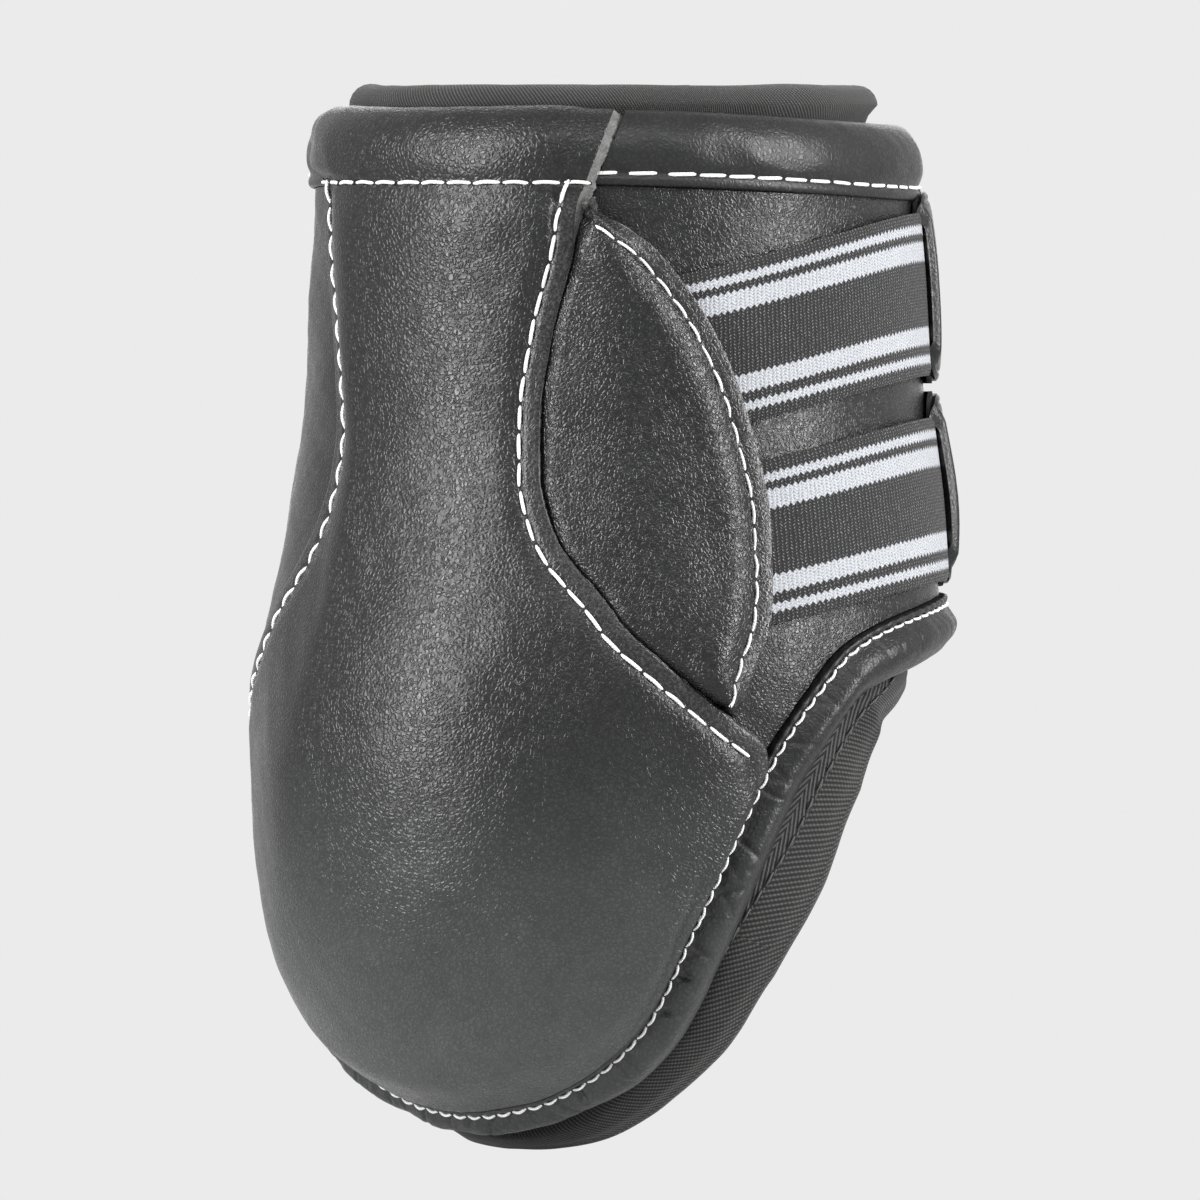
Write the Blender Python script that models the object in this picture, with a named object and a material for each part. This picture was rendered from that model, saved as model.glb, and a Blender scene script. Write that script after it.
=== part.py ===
"""A hind fetlock boot: a cupped leather shell with a soft liner, closed round the leg by two elastic straps.

The boot stands round the leg axis, +Z up, with the origin on that axis at the cup's fullest level. The cup
is toward -Y, the opening toward +Y, and the side that carries the roots of the straps is toward +X. Angles
are in degrees round the leg axis, from the back midline (-Y) toward +X. Heights are above the boot's lowest
level. A depth is a distance outward from the outer face of the wing leather.
"""

import math

import bmesh
import bpy
import numpy as np
from mathutils import Vector

# The whole boot
BOOT_HEIGHT = 0.168
CUP_LEVEL = 0.062
SIDE_RADIUS = 0.0488
BACK_RADIUS = 0.0490
FRONT_RADIUS = 0.0498
LAYER_GAP = 0.0005
FOAM_GAP = 0.0008
BUTT_GAP = 0.0004

# Layers of the wall
LEATHER = 0.0014
FOAM_THICKNESS = 0.0034
STRIP_THICKNESS = 0.0010
STRIP_SEAT_GAP = 0.0005
STRIP_WIDTH = 0.020
STRIP_LENGTH = 0.040
LINER_THICKNESS = 0.0070
LINER_RIM_RISE = 0.0040
LINER_RIM_FLARE = 0.0022
LINER_BULGE = 0.0046
LINER_FULL_FLAP = 0.0120
LINER_ROUNDING = 0.0020

# Back panel, strike plate and leaf
BACK_SWELL = 0.0023
BACK_TUCK_HEIGHT = 0.0070
SWELL_SIDE_SHARE = 0.45
SWELL_TOP_SHARE = 0.45
OPEN_FOOT_SHARES = (0.55, 0.35)
SEAM_ALLOWANCE = 0.0080
LEAF_PUFF = 0.0009
LEAF_TOP_SHARE = 0.90179
LEAF_FOOT_SHARE = 0.40476
LEAF_KNEE_SHARE = 0.75
LEAF_CLIMB_RUN = 0.0080
PAD_FOOT_SHARE = 0.51190
PAD_TOP_SHARE = 0.79167
PAD_THICKNESS = 0.0012
PAD_END_GAP = 0.0030

# Rolls and tape
COLLAR_HEIGHT = 0.0115
COLLAR_DIP = 0.0024
COLLAR_SPREAD = 0.0014
BACK_COLLAR_SPREAD = 0.0022
COLLAR_DEPTH = 0.0060
HEM_ROLL_WIDTH = 0.0075
HEM_ROLL_SPREAD = 0.0016
HEM_ROLL_DEPTH = 0.0068
COVER_THICKNESS = 0.0012
CORE_END_INSET = 0.0010
TAPE_REACH_SHARE = 0.36
TAPE_THICKNESS = 0.0008

# Straps, tabs and their patches
STRAP_MARGIN = 0.0026
ELASTIC_THICKNESS = 0.0014
STRAP_TUCK = 0.0060
STRAP_RISE_SHARE = 0.04048
UPPER_ROOT_SHARE = 0.78036
LOWER_ROOT_SHARE = 0.58393
TAB_CLEARANCE = 0.0013
TAB_THICKNESS = 0.0020
TAB_CROWN = 0.0006
UPPER_TAB_SHARE = 0.82917
LOWER_TAB_SHARE = 0.63452
TAB_END_SHARES = (0.86, 0.35)
PATCH_MARGIN = 0.0037
PATCH_THICKNESS = 0.0009

# Angles round the leg, in degrees
FRONT_ANGLE = 160.0
FLEX_ANGLE = 65.6
STRAP_HINGE_ANGLE = 66.4
TAB_HINGE_ANGLE = 119.0
TAB_FULL_LIFT_ANGLE = 195.0
TAB_END_ANGLE = 234.0
PATCH_ANGLES = (203.0, 228.0)
BACK_FOOT_ANGLE = 61.5
PLATE_SIDE_ANGLE = 33.5
COLLAR_SPLIT_ANGLES = (33.5, 38.5)
WING_FOOT_ANGLE = 54.0
BACK_STRIP_ANGLE = 0.0
LATERAL_STRIP_ANGLE = -140.0
MEDIAL_STRIP_ANGLE = 140.0

MOUTH_ANGLE = 55.0
SHARP_ANGLE = 40.0

# Counts of columns, rows and steps
PANEL_COLUMNS = 24
PANEL_ROWS = 17
PLATE_ROWS = (2, 16)
WING_ROWS = 11
LATERAL_WING_COLUMNS = 18
WING_ROOT_COLUMNS = 5
MEDIAL_WING_COLUMNS = 13
SHELL_COLUMNS = 33
FLEX_COLUMNS = 12
SHELL_FOAM_ROWS = 10
MEDIAL_FOAM_ROWS = 8
LINER_ROWS = 13
BACK_COLLAR_COLUMNS = 9
LATERAL_COLLAR_COLUMNS = 15
COLLAR_ROOT_COLUMNS = 4
ELASTIC_COLUMNS = 9
SECTION_POINTS = 7
HEM_STEPS = 12
AXIS_STEPS = 24
ROW_CROWDING = 1.3
NORMAL_STEP_SHARE = 0.002

# Height, then the radius at the side, the back and the front, as shares of the boot's height and neck radii
PROFILE_SHARES = (
    (-0.080, 0.15, 0.40, 1.02),
    (0.000, 0.42, 0.60, 1.02),
    (0.043, 0.64, 0.77, 1.02),
    (0.089, 0.80, 0.92, 1.02),
    (0.147, 0.930, 1.055, 1.02),
    (0.202, 1.005, 1.148, 1.02),
    (0.268, 1.045, 1.212, 1.02),
    (0.351, 1.085, 1.236, 1.00),
    (0.417, 1.122, 1.218, 0.96),
    (0.488, 1.150, 1.165, 0.93),
    (0.548, 1.122, 1.104, 0.95),
    (0.631, 1.078, 1.039, 0.99),
    (0.702, 1.035, 1.006, 1.00),
    (0.833, 1.000, 1.000, 1.00),
    (0.923, 0.977, 1.000, 0.99),
    (1.100, 0.975, 1.000, 0.99),
)
# Angle from the back midline, then the hem's height as a share of the boot's height
HEM_SHARES = (
    (0.0, 0.0435),
    (17.0, 0.053),
    (25.0, 0.0655),
    (32.7, 0.0845),
    (40.4, 0.119),
    (44.0, 0.150),
    (48.2, 0.204),
    (51.8, 0.249),
    (57.0, 0.313),
    (63.4, 0.384),
    (70.0, 0.438),
    (78.1, 0.486),
    (86.0, 0.506),
    (96.0, 0.520),
    (112.0, 0.533),
    (127.0, 0.538),
    (240.0, 0.540),
)
# Height as a share of the boot's height, then the angle of the back panel's raw edge
SEAM_SHARES = (
    (0.370, 62.0),
    (0.389, 61.3),
    (0.412, 56.0),
    (0.442, 49.4),
    (0.475, 42.7),
    (0.499, 38.4),
    (0.526, 35.1),
    (0.555, 30.9),
    (0.573, 28.5),
    (0.602, 26.1),
    (0.645, 24.3),
    (0.705, 24.0),
    (0.774, 25.7),
    (0.845, 28.9),
    (0.913, 32.0),
    (0.935, 33.6),
)
# Height as a share of the boot's height, then the angle of the leaf's raw edge
LEAF_SHARES = (
    (0.395, 53.6),
    (0.411, 55.6),
    (0.464, 59.4),
    (0.500, 62.0),
    (0.545, 63.2),
    (0.604, 63.6),
    (0.676, 62.0),
    (0.747, 58.0),
    (0.804, 52.0),
    (0.863, 42.5),
    (0.911, 32.5),
)
# Angle from the back midline, then how far the liner reaches past the hem
LINER_DROPS = (
    (0.0, 0.0150),
    (27.0, 0.0197),
    (57.0, 0.0240),
    (78.0, 0.0225),
    (98.0, 0.0145),
    (115.0, 0.0115),
    (240.0, 0.0115),
)
# The liner's rim: shares of its height from inside the collar up, of its outward flare and of its rounding
RIM_SHARES = ((0.00, 0.00, 0.0), (0.45, 0.55, 0.0), (0.80, 1.00, 0.2), (1.00, 0.75, 1.0))
# The liner past the hem roll: shares of its reach, of its outward bulge and of the rounding of its edge
FLAP_SHARES = ((1.00, 0.40, 1.00), (0.85, 0.90, 0.35), (0.40, 0.85, 0.00), (0.00, 0.08, 0.00))
# A tab from edge to edge: shares of its half width and of its thickness and crown
TAB_SHARES = ((-1.00, 0.45, 0.0), (-0.84, 0.90, 0.7), (0.00, 1.00, 1.0), (0.84, 0.90, 0.7), (1.00, 0.45, 0.0))


def curve_value(position, stations, column=1):
    """Return the smooth curve through a table's stations at a position, flat beyond its ends."""
    places = [row[0] for row in stations]
    values = [row[column] for row in stations]
    if position <= places[0]:
        return values[0]
    if position >= places[-1]:
        return values[-1]
    index = max(i for i in range(len(places) - 1) if places[i] <= position)
    span = places[index + 1] - places[index]
    share = (position - places[index]) / span

    def slope(i):
        if i == 0 or i == len(places) - 1:
            return 0.0
        before = (values[i] - values[i - 1]) / (places[i] - places[i - 1])
        after = (values[i + 1] - values[i]) / (places[i + 1] - places[i])
        return 2 * before * after / (before + after) if before * after > 0 else 0.0

    start, end = values[index], values[index + 1]
    return (
        start * (1 + 2 * share) * (1 - share) ** 2
        + slope(index) * span * share * (1 - share) ** 2
        + end * share**2 * (3 - 2 * share)
        + slope(index + 1) * span * share**2 * (share - 1)
    )


def blend(start, end, share):
    """Return the value a share of the way from start to end."""
    return start + (end - start) * share


def ease(share):
    """Return a smooth step from 0 to 1."""
    share = min(max(share, 0.0), 1.0)
    return share * share * (3 - 2 * share)


def base_point(angle, height):
    """Return the point of the wing leather's outer face at an angle and a height."""
    share = height / BOOT_HEIGHT
    side = SIDE_RADIUS * curve_value(share, PROFILE_SHARES, 1)
    back = BACK_RADIUS * curve_value(share, PROFILE_SHARES, 2)
    front = FRONT_RADIUS * curve_value(share, PROFILE_SHARES, 3)
    across = math.sin(math.radians(angle))
    along = math.cos(math.radians(angle))
    end = back if along > 0 else front
    radius = 1 / math.hypot(across / side, along / end)
    return Vector((radius * across, -radius * along, height - CUP_LEVEL))


def outward(angle, height):
    """Return the wall's unit normal at an angle and a height."""
    step = BOOT_HEIGHT * NORMAL_STEP_SHARE
    turn = math.degrees(step / SIDE_RADIUS)
    round_leg = base_point(angle + turn, height) - base_point(angle - turn, height)
    up_wall = base_point(angle, height + step) - base_point(angle, height - step)
    return round_leg.cross(up_wall).normalized()


def wall_point(angle, height, depth):
    """Return the point at a depth outward from the wing leather's outer face."""
    return base_point(angle, height) + outward(angle, height) * depth


def hem_height(angle):
    """Return the height of the hem's groove at an angle."""
    return BOOT_HEIGHT * curve_value(abs(angle), HEM_SHARES)


def past_hem(angle, drop, depth):
    """Return the point a distance past the hem's groove, straight on from the wall, at a depth."""
    turn = math.degrees(BOOT_HEIGHT * NORMAL_STEP_SHARE / SIDE_RADIUS)
    before = base_point(angle - turn, hem_height(angle - turn))
    after = base_point(angle + turn, hem_height(angle + turn))
    normal = outward(angle, hem_height(angle))
    away = (after - before).cross(normal).normalized()
    return base_point(angle, hem_height(angle)) + away * drop + normal * depth


def hem_angles(start, end, count):
    """Return count + 1 angles from start to end, evenly spaced along the hem."""
    fine = even_angles(start, end, count * HEM_STEPS)
    points = [base_point(angle, hem_height(angle)) for angle in fine]
    steps = [(b - a).length for a, b in zip(points, points[1:])]
    lengths = np.concatenate(([0.0], np.cumsum(steps)))
    return np.interp(np.linspace(0.0, lengths[-1], count + 1), lengths, fine).tolist()


def arc_angle(length):
    """Return the angle that a length spans along the neck."""
    return math.degrees(length / SIDE_RADIUS)


def collar_dip(angle):
    """Return how far the collar has dropped at an angle, toward the front."""
    start = COLLAR_SPLIT_ANGLES[0]
    return COLLAR_DIP * ease((abs(angle) - start) / (TAB_HINGE_ANGLE - start))


def seam_angle(height):
    """Return the angle of the back panel's raw edge at a height."""
    return curve_value(height / BOOT_HEIGHT, SEAM_SHARES)


def leaf_angle(height):
    """Return the angle of the leaf's raw edge at a height."""
    return curve_value(height / BOOT_HEIGHT, LEAF_SHARES)


def inner_angle(height):
    """Return the angle where the pieces that pass under the back panel end."""
    return seam_angle(height) - arc_angle(SEAM_ALLOWANCE)


def even_angles(start, end, count):
    """Return count + 1 evenly spaced angles."""
    return [blend(start, end, i / count) for i in range(count + 1)]


def material(name, colour, roughness):
    """Return a Principled material."""
    made = bpy.data.materials.new(name)
    made.use_nodes = True
    shader = made.node_tree.nodes["Principled BSDF"]
    shader.inputs["Base Color"].default_value = (*colour, 1.0)
    shader.inputs["Roughness"].default_value = roughness
    shader.inputs["Metallic"].default_value = 0.0
    return made


def finish_object(name, bm, look, collection, parent):
    """Close a mesh's books: faces outward, smooth shading, its material, its collection and its axis."""
    bmesh.ops.recalc_face_normals(bm, faces=bm.faces)
    mesh = bpy.data.meshes.new(name)
    bm.to_mesh(mesh)
    bm.free()
    mesh.shade_smooth()
    mesh.set_sharp_from_angle(angle=math.radians(SHARP_ANGLE))
    mesh.materials.append(look)
    made = bpy.data.objects.new(name, mesh)
    collection.objects.link(made)
    if parent is not None:
        for vertex in mesh.vertices:
            vertex.co -= parent.location
        made.parent = parent
    return made


def layer(name, columns, rows, place, look, collection, parent=None):
    """Make a solid between the outer and inner faces that place(column, row, side) gives.

    Two grids are laid over the faces, side 0 the outer and side 1 the inner, and their borders bridged.
    """
    bm = bmesh.new()
    for side in (0, 1):
        made = bmesh.ops.create_grid(bm, x_segments=columns, y_segments=rows, size=1)
        for vertex in made["verts"]:
            column = round((vertex.co.x + 1) / 2 * columns)
            row = round((vertex.co.y + 1) / 2 * rows)
            vertex.co = place(column, row, side)
    border = [edge for edge in bm.edges if edge.is_boundary]
    bmesh.ops.bridge_loops(bm, edges=border)
    return finish_object(name, bm, look, collection, parent)


def loft(name, rings, look, collection, parent=None):
    """Make a closed solid through rings of points, with a cap on each end."""
    bm = bmesh.new()
    loops = [[bm.verts.new(point) for point in ring] for ring in rings]
    size = len(rings[0])
    for near, far in zip(loops, loops[1:]):
        for i in range(size):
            bm.faces.new((near[i], near[(i + 1) % size], far[(i + 1) % size], far[i]))
    caps = [bm.faces.new(loops[0]), bm.faces.new(loops[-1])]
    bmesh.ops.triangulate(bm, faces=caps)
    return finish_object(name, bm, look, collection, parent)


def row_height(bottom, top, row, rows):
    """Return a row's height, with the rows closer together near the hem."""
    return blend(bottom, top, (row / rows) ** ROW_CROWDING)


def hinge_empty(name, angle, low, high, depth, collection):
    """Return an empty on a hinge's upright axis.

    The axis stands at the furthest that the pieces at a depth reach out between two heights, so that what
    turns about it moves away from what it leaves.
    """
    made = bpy.data.objects.new(name, None)
    heights = [blend(low, high, step / AXIS_STEPS) for step in range(AXIS_STEPS + 1)]
    point = max((wall_point(angle, height, depth) for height in heights), key=lambda spot: spot.xy.length)
    made.location = (point.x, point.y, 0)
    made.empty_display_size = BOOT_HEIGHT
    collection.objects.link(made)
    return made


FOAM_OUTER = -LEATHER - FOAM_GAP
FOAM_INNER = FOAM_OUTER - FOAM_THICKNESS
STRIP_OUTER = FOAM_INNER - STRIP_SEAT_GAP
LINER_OUTER = STRIP_OUTER - STRIP_THICKNESS - STRIP_SEAT_GAP
LINER_INNER = LINER_OUTER - LINER_THICKNESS
LEAF_LIFT = LAYER_GAP + ELASTIC_THICKNESS + LAYER_GAP
STRAP_OUTER = LAYER_GAP + ELASTIC_THICKNESS
LINER_RIM_HEIGHT = BOOT_HEIGHT + LINER_RIM_RISE
COLLAR_FOOT_HEIGHT = BOOT_HEIGHT - COLLAR_HEIGHT
LEAF_TOP_HEIGHT = BOOT_HEIGHT * LEAF_TOP_SHARE
LEAF_FOOT_HEIGHT = BOOT_HEIGHT * LEAF_FOOT_SHARE
PAD_TOP_HEIGHT = BOOT_HEIGHT * PAD_TOP_SHARE
PAD_FOOT_HEIGHT = BOOT_HEIGHT * PAD_FOOT_SHARE
UPPER_ROOT_HEIGHT = BOOT_HEIGHT * UPPER_ROOT_SHARE
LOWER_ROOT_HEIGHT = BOOT_HEIGHT * LOWER_ROOT_SHARE
UPPER_TAB_HEIGHT = BOOT_HEIGHT * UPPER_TAB_SHARE
LOWER_TAB_HEIGHT = BOOT_HEIGHT * LOWER_TAB_SHARE
STRAP_RISE = BOOT_HEIGHT * STRAP_RISE_SHARE
TAB_WIDTH = UPPER_TAB_HEIGHT - LOWER_TAB_HEIGHT - TAB_CLEARANCE
STRAP_WIDTH = TAB_WIDTH - STRAP_MARGIN * 2
PATCH_WIDTH = TAB_WIDTH - PATCH_MARGIN * 2


def panel_spot(foot_angle, row):
    """Return the angle, height and inner depth of the back panel where a column from the hem meets a row.

    The panel swells over the strike plate and is tucked in at the hem and the collar.
    """
    across = foot_angle / BACK_FOOT_ANGLE
    top = COLLAR_FOOT_HEIGHT - BUTT_GAP
    bottom = hem_height(foot_angle)
    height = row_height(bottom, top, row, PANEL_ROWS)
    edge_height = row_height(hem_height(BACK_FOOT_ANGLE), top, row, PANEL_ROWS)
    swell = BACK_SWELL * ease((across + 1) / SWELL_SIDE_SHARE)
    open_from, open_run = OPEN_FOOT_SHARES
    low = max(ease((height - bottom) / BACK_TUCK_HEIGHT), ease((across - open_from) / open_run))
    high = blend(SWELL_TOP_SHARE, 1.0, ease((COLLAR_FOOT_HEIGHT - height) / BACK_TUCK_HEIGHT))
    return across * seam_angle(edge_height), height, LAYER_GAP + swell * low * high


def build_back_panel(look, collection):
    """Make the leather panel that covers the cup and the back of the neck."""
    feet = hem_angles(-BACK_FOOT_ANGLE, BACK_FOOT_ANGLE, PANEL_COLUMNS)

    def place(column, row, side):
        angle, height, depth = panel_spot(feet[column], row)
        return wall_point(angle, height, depth + (LEATHER if side == 0 else 0))

    layer("back_panel", PANEL_COLUMNS, PANEL_ROWS, place, look, collection)


def build_strike_plate(look, collection):
    """Make the hard plate that fills the swell of the back panel."""
    feet = hem_angles(-BACK_FOOT_ANGLE, BACK_FOOT_ANGLE, PANEL_COLUMNS)
    feet = [foot for foot in feet if abs(foot) < PLATE_SIDE_ANGLE]
    first_row, last_row = PLATE_ROWS

    def place(column, row, side):
        angle, height, depth = panel_spot(feet[column], first_row + row)
        return wall_point(angle, height, depth - LAYER_GAP if side == 0 else -LEATHER)

    layer("strike_plate", len(feet) - 1, last_row - first_row, place, look, collection)


def build_wing(name, side_sign, end_angle, columns, look, collection, parent=None, start_angle=None):
    """Make a wing's leather, from under the back panel or from the flex line to an upright edge."""
    rows = WING_ROWS
    top = COLLAR_FOOT_HEIGHT - BUTT_GAP
    start = WING_FOOT_ANGLE if start_angle is None else start_angle
    feet = hem_angles(start, end_angle, columns)
    foot = max(hem_height(start), hem_height(BACK_FOOT_ANGLE))

    def place(column, row, side):
        bottom = max(hem_height(feet[column]), foot)
        height = row_height(bottom, top, row, rows)
        angle = feet[column]
        height -= collar_dip(angle) * row / rows
        if start_angle is None:
            under = min(inner_angle(row_height(foot, top, row, rows)), WING_FOOT_ANGLE)
            share = (feet[column] - WING_FOOT_ANGLE) / (end_angle - WING_FOOT_ANGLE)
            angle = blend(under, end_angle, share)
        return wall_point(side_sign * angle, height, 0 if side == 0 else -LEATHER)

    layer(name, columns, rows, place, look, collection, parent)


def leaf_depth(angle, height):
    """Return the depth of the leaf's inner face: it climbs from the back panel's seam over the strap ends."""
    seam, edge = seam_angle(height), leaf_angle(height)
    climb = ease((angle - seam) / arc_angle(LEAF_CLIMB_RUN)) * ease((edge - seam) / arc_angle(LEAF_CLIMB_RUN))
    across = min(max((angle - seam) / (edge - seam), 0), 1)
    puff = LEAF_PUFF * math.sin(math.pi * across) ** 2
    return blend(LAYER_GAP, LEAF_LIFT, climb) + puff


def build_leaf(look, collection):
    """Make the almond-shaped leather leaf that covers the roots of the straps."""
    hidden_columns, shown_columns, rows = 2, 6, 13

    def place(column, row, side):
        height = blend(LEAF_FOOT_HEIGHT, LEAF_TOP_HEIGHT, row / rows)
        start, end = inner_angle(height), leaf_angle(height)
        knee = min(seam_angle(height), blend(start, end, LEAF_KNEE_SHARE))
        if column < hidden_columns:
            angle = blend(start, knee, column / hidden_columns)
        else:
            angle = blend(knee, end, (column - hidden_columns) / shown_columns)
        return wall_point(angle, height, leaf_depth(angle, height) + (LEATHER if side == 0 else 0))

    layer("medial_leaf", hidden_columns + shown_columns, rows, place, look, collection)


def build_leaf_pad(look, collection):
    """Make the foam that fills the leaf between the back panel's seam and the strap ends."""
    columns, rows = 4, 8

    def place(column, row, side):
        height = blend(PAD_FOOT_HEIGHT, PAD_TOP_HEIGHT, row / rows)
        start = seam_angle(height) + arc_angle(LEAF_CLIMB_RUN)
        end = leaf_angle(height) - arc_angle(STRAP_TUCK + PAD_END_GAP)
        angle = blend(start, end, column / columns)
        return wall_point(angle, height, LAYER_GAP + (PAD_THICKNESS if side == 0 else 0))

    layer("medial_leaf_pad", columns, rows, place, look, collection)


def build_foam(name, angles, rows, look, collection, parent=None):
    """Make the foam behind the leather, from the hem to the collar."""

    def place(column, row, side):
        angle = angles[column]
        top = COLLAR_FOOT_HEIGHT - BUTT_GAP - collar_dip(angle)
        height = row_height(hem_height(angle), top, row, rows)
        return wall_point(angle, height, FOAM_OUTER if side == 0 else FOAM_INNER)

    layer(name, len(angles) - 1, rows, place, look, collection, parent)


def build_strip(name, middle_angle, look, collection, parent=None):
    """Make an upright strip of hook tape that holds the liner to the foam."""
    columns, rows = 3, 10
    reach = arc_angle(STRIP_WIDTH) / 2
    high = COLLAR_FOOT_HEIGHT - STRIP_WIDTH / 2
    low = high - STRIP_LENGTH

    def place(column, row, side):
        angle = blend(middle_angle - reach, middle_angle + reach, column / columns)
        height = row_height(low, high, row, rows)
        return wall_point(angle, height, STRIP_OUTER - (0 if side == 0 else STRIP_THICKNESS))

    layer(name, columns, rows, place, look, collection, parent)


def flap_length(angle):
    """Return how far the liner reaches past the hem roll at an angle."""
    return curve_value(abs(angle), LINER_DROPS) - HEM_ROLL_WIDTH - BUTT_GAP


def flap_bulge(angle, reach):
    """Return the liner's outward bulge at a share of its reach past the hem roll."""
    full = LINER_BULGE * min(flap_length(angle) / LINER_FULL_FLAP, 1)
    for far, near in zip(FLAP_SHARES, FLAP_SHARES[1:]):
        if reach >= near[0]:
            return full * blend(near[1], far[1], (reach - near[0]) / (far[0] - near[0]))
    return 0.0


def build_liner(name, angles, look, collection, parent=None):
    """Make the removable liner: it stands above the collar and swells out past the hem."""
    rows = LINER_ROWS
    flap_rows = len(FLAP_SHARES)
    rim_rows = len(RIM_SHARES) - 1
    rim_foot = BOOT_HEIGHT - COLLAR_DIP
    columns = len(angles) - 1

    def place(column, row, side):
        angle = angles[column]
        if row < flap_rows:
            reach, _, rounding = FLAP_SHARES[row]
            depth = LINER_OUTER + flap_bulge(angle, reach) - LINER_ROUNDING * rounding
            if side == 1:
                depth = LINER_INNER + LINER_ROUNDING * rounding
            return past_hem(angle, HEM_ROLL_WIDTH + BUTT_GAP + flap_length(angle) * reach, depth)
        if row <= flap_rows + rows:
            height = row_height(hem_height(angle), rim_foot, row - flap_rows, rows)
            return wall_point(angle, height, LINER_OUTER if side == 0 else LINER_INNER)
        rise, flare, rounding = RIM_SHARES[row - flap_rows - rows]
        rim = LINER_OUTER + LINER_RIM_FLARE * flare - LINER_ROUNDING * rounding
        if side == 1:
            rim = LINER_INNER + LINER_RIM_FLARE * flare + LINER_ROUNDING * rounding
        return wall_point(angle, blend(rim_foot, LINER_RIM_HEIGHT, rise), rim)

    layer(name, columns, rows + flap_rows + rim_rows, place, look, collection, parent)


def rounded_section(half_across, half_along, inset):
    """Return points of a rolled cover's C section, open toward the leg, as (depth, along) pairs."""
    points = []
    for step in range(SECTION_POINTS):
        turn = math.radians(blend(MOUTH_ANGLE - 180, 180 - MOUTH_ANGLE, step / (SECTION_POINTS - 1)))
        points.append((half_across * math.cos(turn), half_along * math.sin(turn)))
    for step in reversed(range(SECTION_POINTS)):
        turn = math.radians(blend(MOUTH_ANGLE - 180, 180 - MOUTH_ANGLE, step / (SECTION_POINTS - 1)))
        points.append(((half_across - inset) * math.cos(turn), (half_along - inset) * math.sin(turn)))
    return points


def oval_section(half_across, half_along):
    """Return points of a roll's core as (depth, along) pairs."""
    turns = [2 * math.pi * step / SECTION_POINTS for step in range(SECTION_POINTS)]
    return [(half_across * math.cos(turn), half_along * math.sin(turn)) for turn in turns]


def build_roll(name, angles, place, half_across, half_along, looks, collection, parent=None):
    """Make a rolled edge, a leather cover round a foam core, through rings of place(angle, depth, along)."""
    cover_look, core_look = looks
    cover = rounded_section(half_across, half_along, COVER_THICKNESS)
    slack = COVER_THICKNESS + LAYER_GAP
    core = oval_section(half_across - slack, half_along - slack)
    inset = arc_angle(CORE_END_INSET)
    core_angles = [angles[0] + inset, *angles[1:-1], angles[-1] - inset]
    for part, section, stops, look in (
        ("cover", cover, angles, cover_look),
        ("core", core, core_angles, core_look),
    ):
        rings = [[place(angle, depth, along) for depth, along in section] for angle in stops]
        loft(f"{name}_{part}", rings, look, collection, parent)


def build_collar(name, angles, spread, looks, collection, parent=None, slants=(0, 0)):
    """Make a stretch of the collar roll; slants lean its two ends, in degrees over its height."""
    half_along = (BOOT_HEIGHT - COLLAR_FOOT_HEIGHT) / 2
    half_across = (COLLAR_DEPTH + spread) / 2
    middle = spread - half_across
    first, last = angles[0], angles[-1]

    def place(angle, depth, along):
        lean = blend(slants[0], slants[1], (angle - first) / (last - first)) * along / (2 * half_along)
        height = COLLAR_FOOT_HEIGHT + half_along + along - collar_dip(angle)
        return wall_point(angle + lean, height, middle + depth)

    build_roll(name, angles, place, half_across, half_along, looks, collection, parent)


def build_hem_roll(name, angles, looks, collection, parent=None):
    """Make a stretch of the hem roll, which binds the wall's lower edge."""
    half_along = HEM_ROLL_WIDTH / 2
    half_across = (HEM_ROLL_DEPTH + HEM_ROLL_SPREAD) / 2
    middle = HEM_ROLL_SPREAD - half_across

    def place(angle, depth, along):
        return past_hem(angle, BUTT_GAP + half_along - along, middle + depth)

    build_roll(name, angles, place, half_across, half_along, looks, collection, parent)


def build_tape(name, angles, look, collection, parent=None):
    """Make the tape that covers the join between the hem roll and the liner."""

    def place(column, row, side):
        angle = angles[column]
        reach = TAPE_REACH_SHARE * (1 - row / 2)
        drop = HEM_ROLL_WIDTH + BUTT_GAP * 2 + flap_length(angle) * reach
        depth = LINER_OUTER + flap_bulge(angle, reach) + LAYER_GAP + (TAPE_THICKNESS if side == 0 else 0)
        return past_hem(angle, drop, depth)

    layer(name, len(angles) - 1, 2, place, look, collection, parent)


def strap_height(angle, root_height):
    """Return the height of a strap's middle line: it climbs from its root and levels off."""
    share = (angle - FLEX_ANGLE) / (TAB_HINGE_ANGLE - FLEX_ANGLE)
    return root_height + STRAP_RISE * math.sin(math.pi / 2 * min(share, 1))


def build_elastic(name, root_height, start, end, look, collection, parent):
    """Make the elastic strap, lying on the wing."""

    def place(column, row, side):
        angle = blend(start, end, column / ELASTIC_COLUMNS)
        height = strap_height(angle, root_height) + STRAP_WIDTH * (row / 2 - 0.5)
        return wall_point(angle, height, STRAP_OUTER if side == 0 else LAYER_GAP)

    layer(name, ELASTIC_COLUMNS, 2, place, look, collection, parent)


def build_strap_end(name, root_height, look, collection):
    """Make the sewn end of a strap, under the leaf."""
    columns, rows = 2, 3

    def place(column, row, side):
        share = row / rows
        height = strap_height(FLEX_ANGLE, root_height) + STRAP_WIDTH * (share - 0.5)
        end = FLEX_ANGLE - arc_angle(BUTT_GAP)
        start = leaf_angle(height) - arc_angle(STRAP_TUCK)
        angle = blend(start, end, column / columns)
        lean = strap_height(angle, root_height) - strap_height(FLEX_ANGLE, root_height)
        return wall_point(angle, height + lean, STRAP_OUTER if side == 0 else LAYER_GAP)

    layer(name, columns, rows, place, look, collection)


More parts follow.
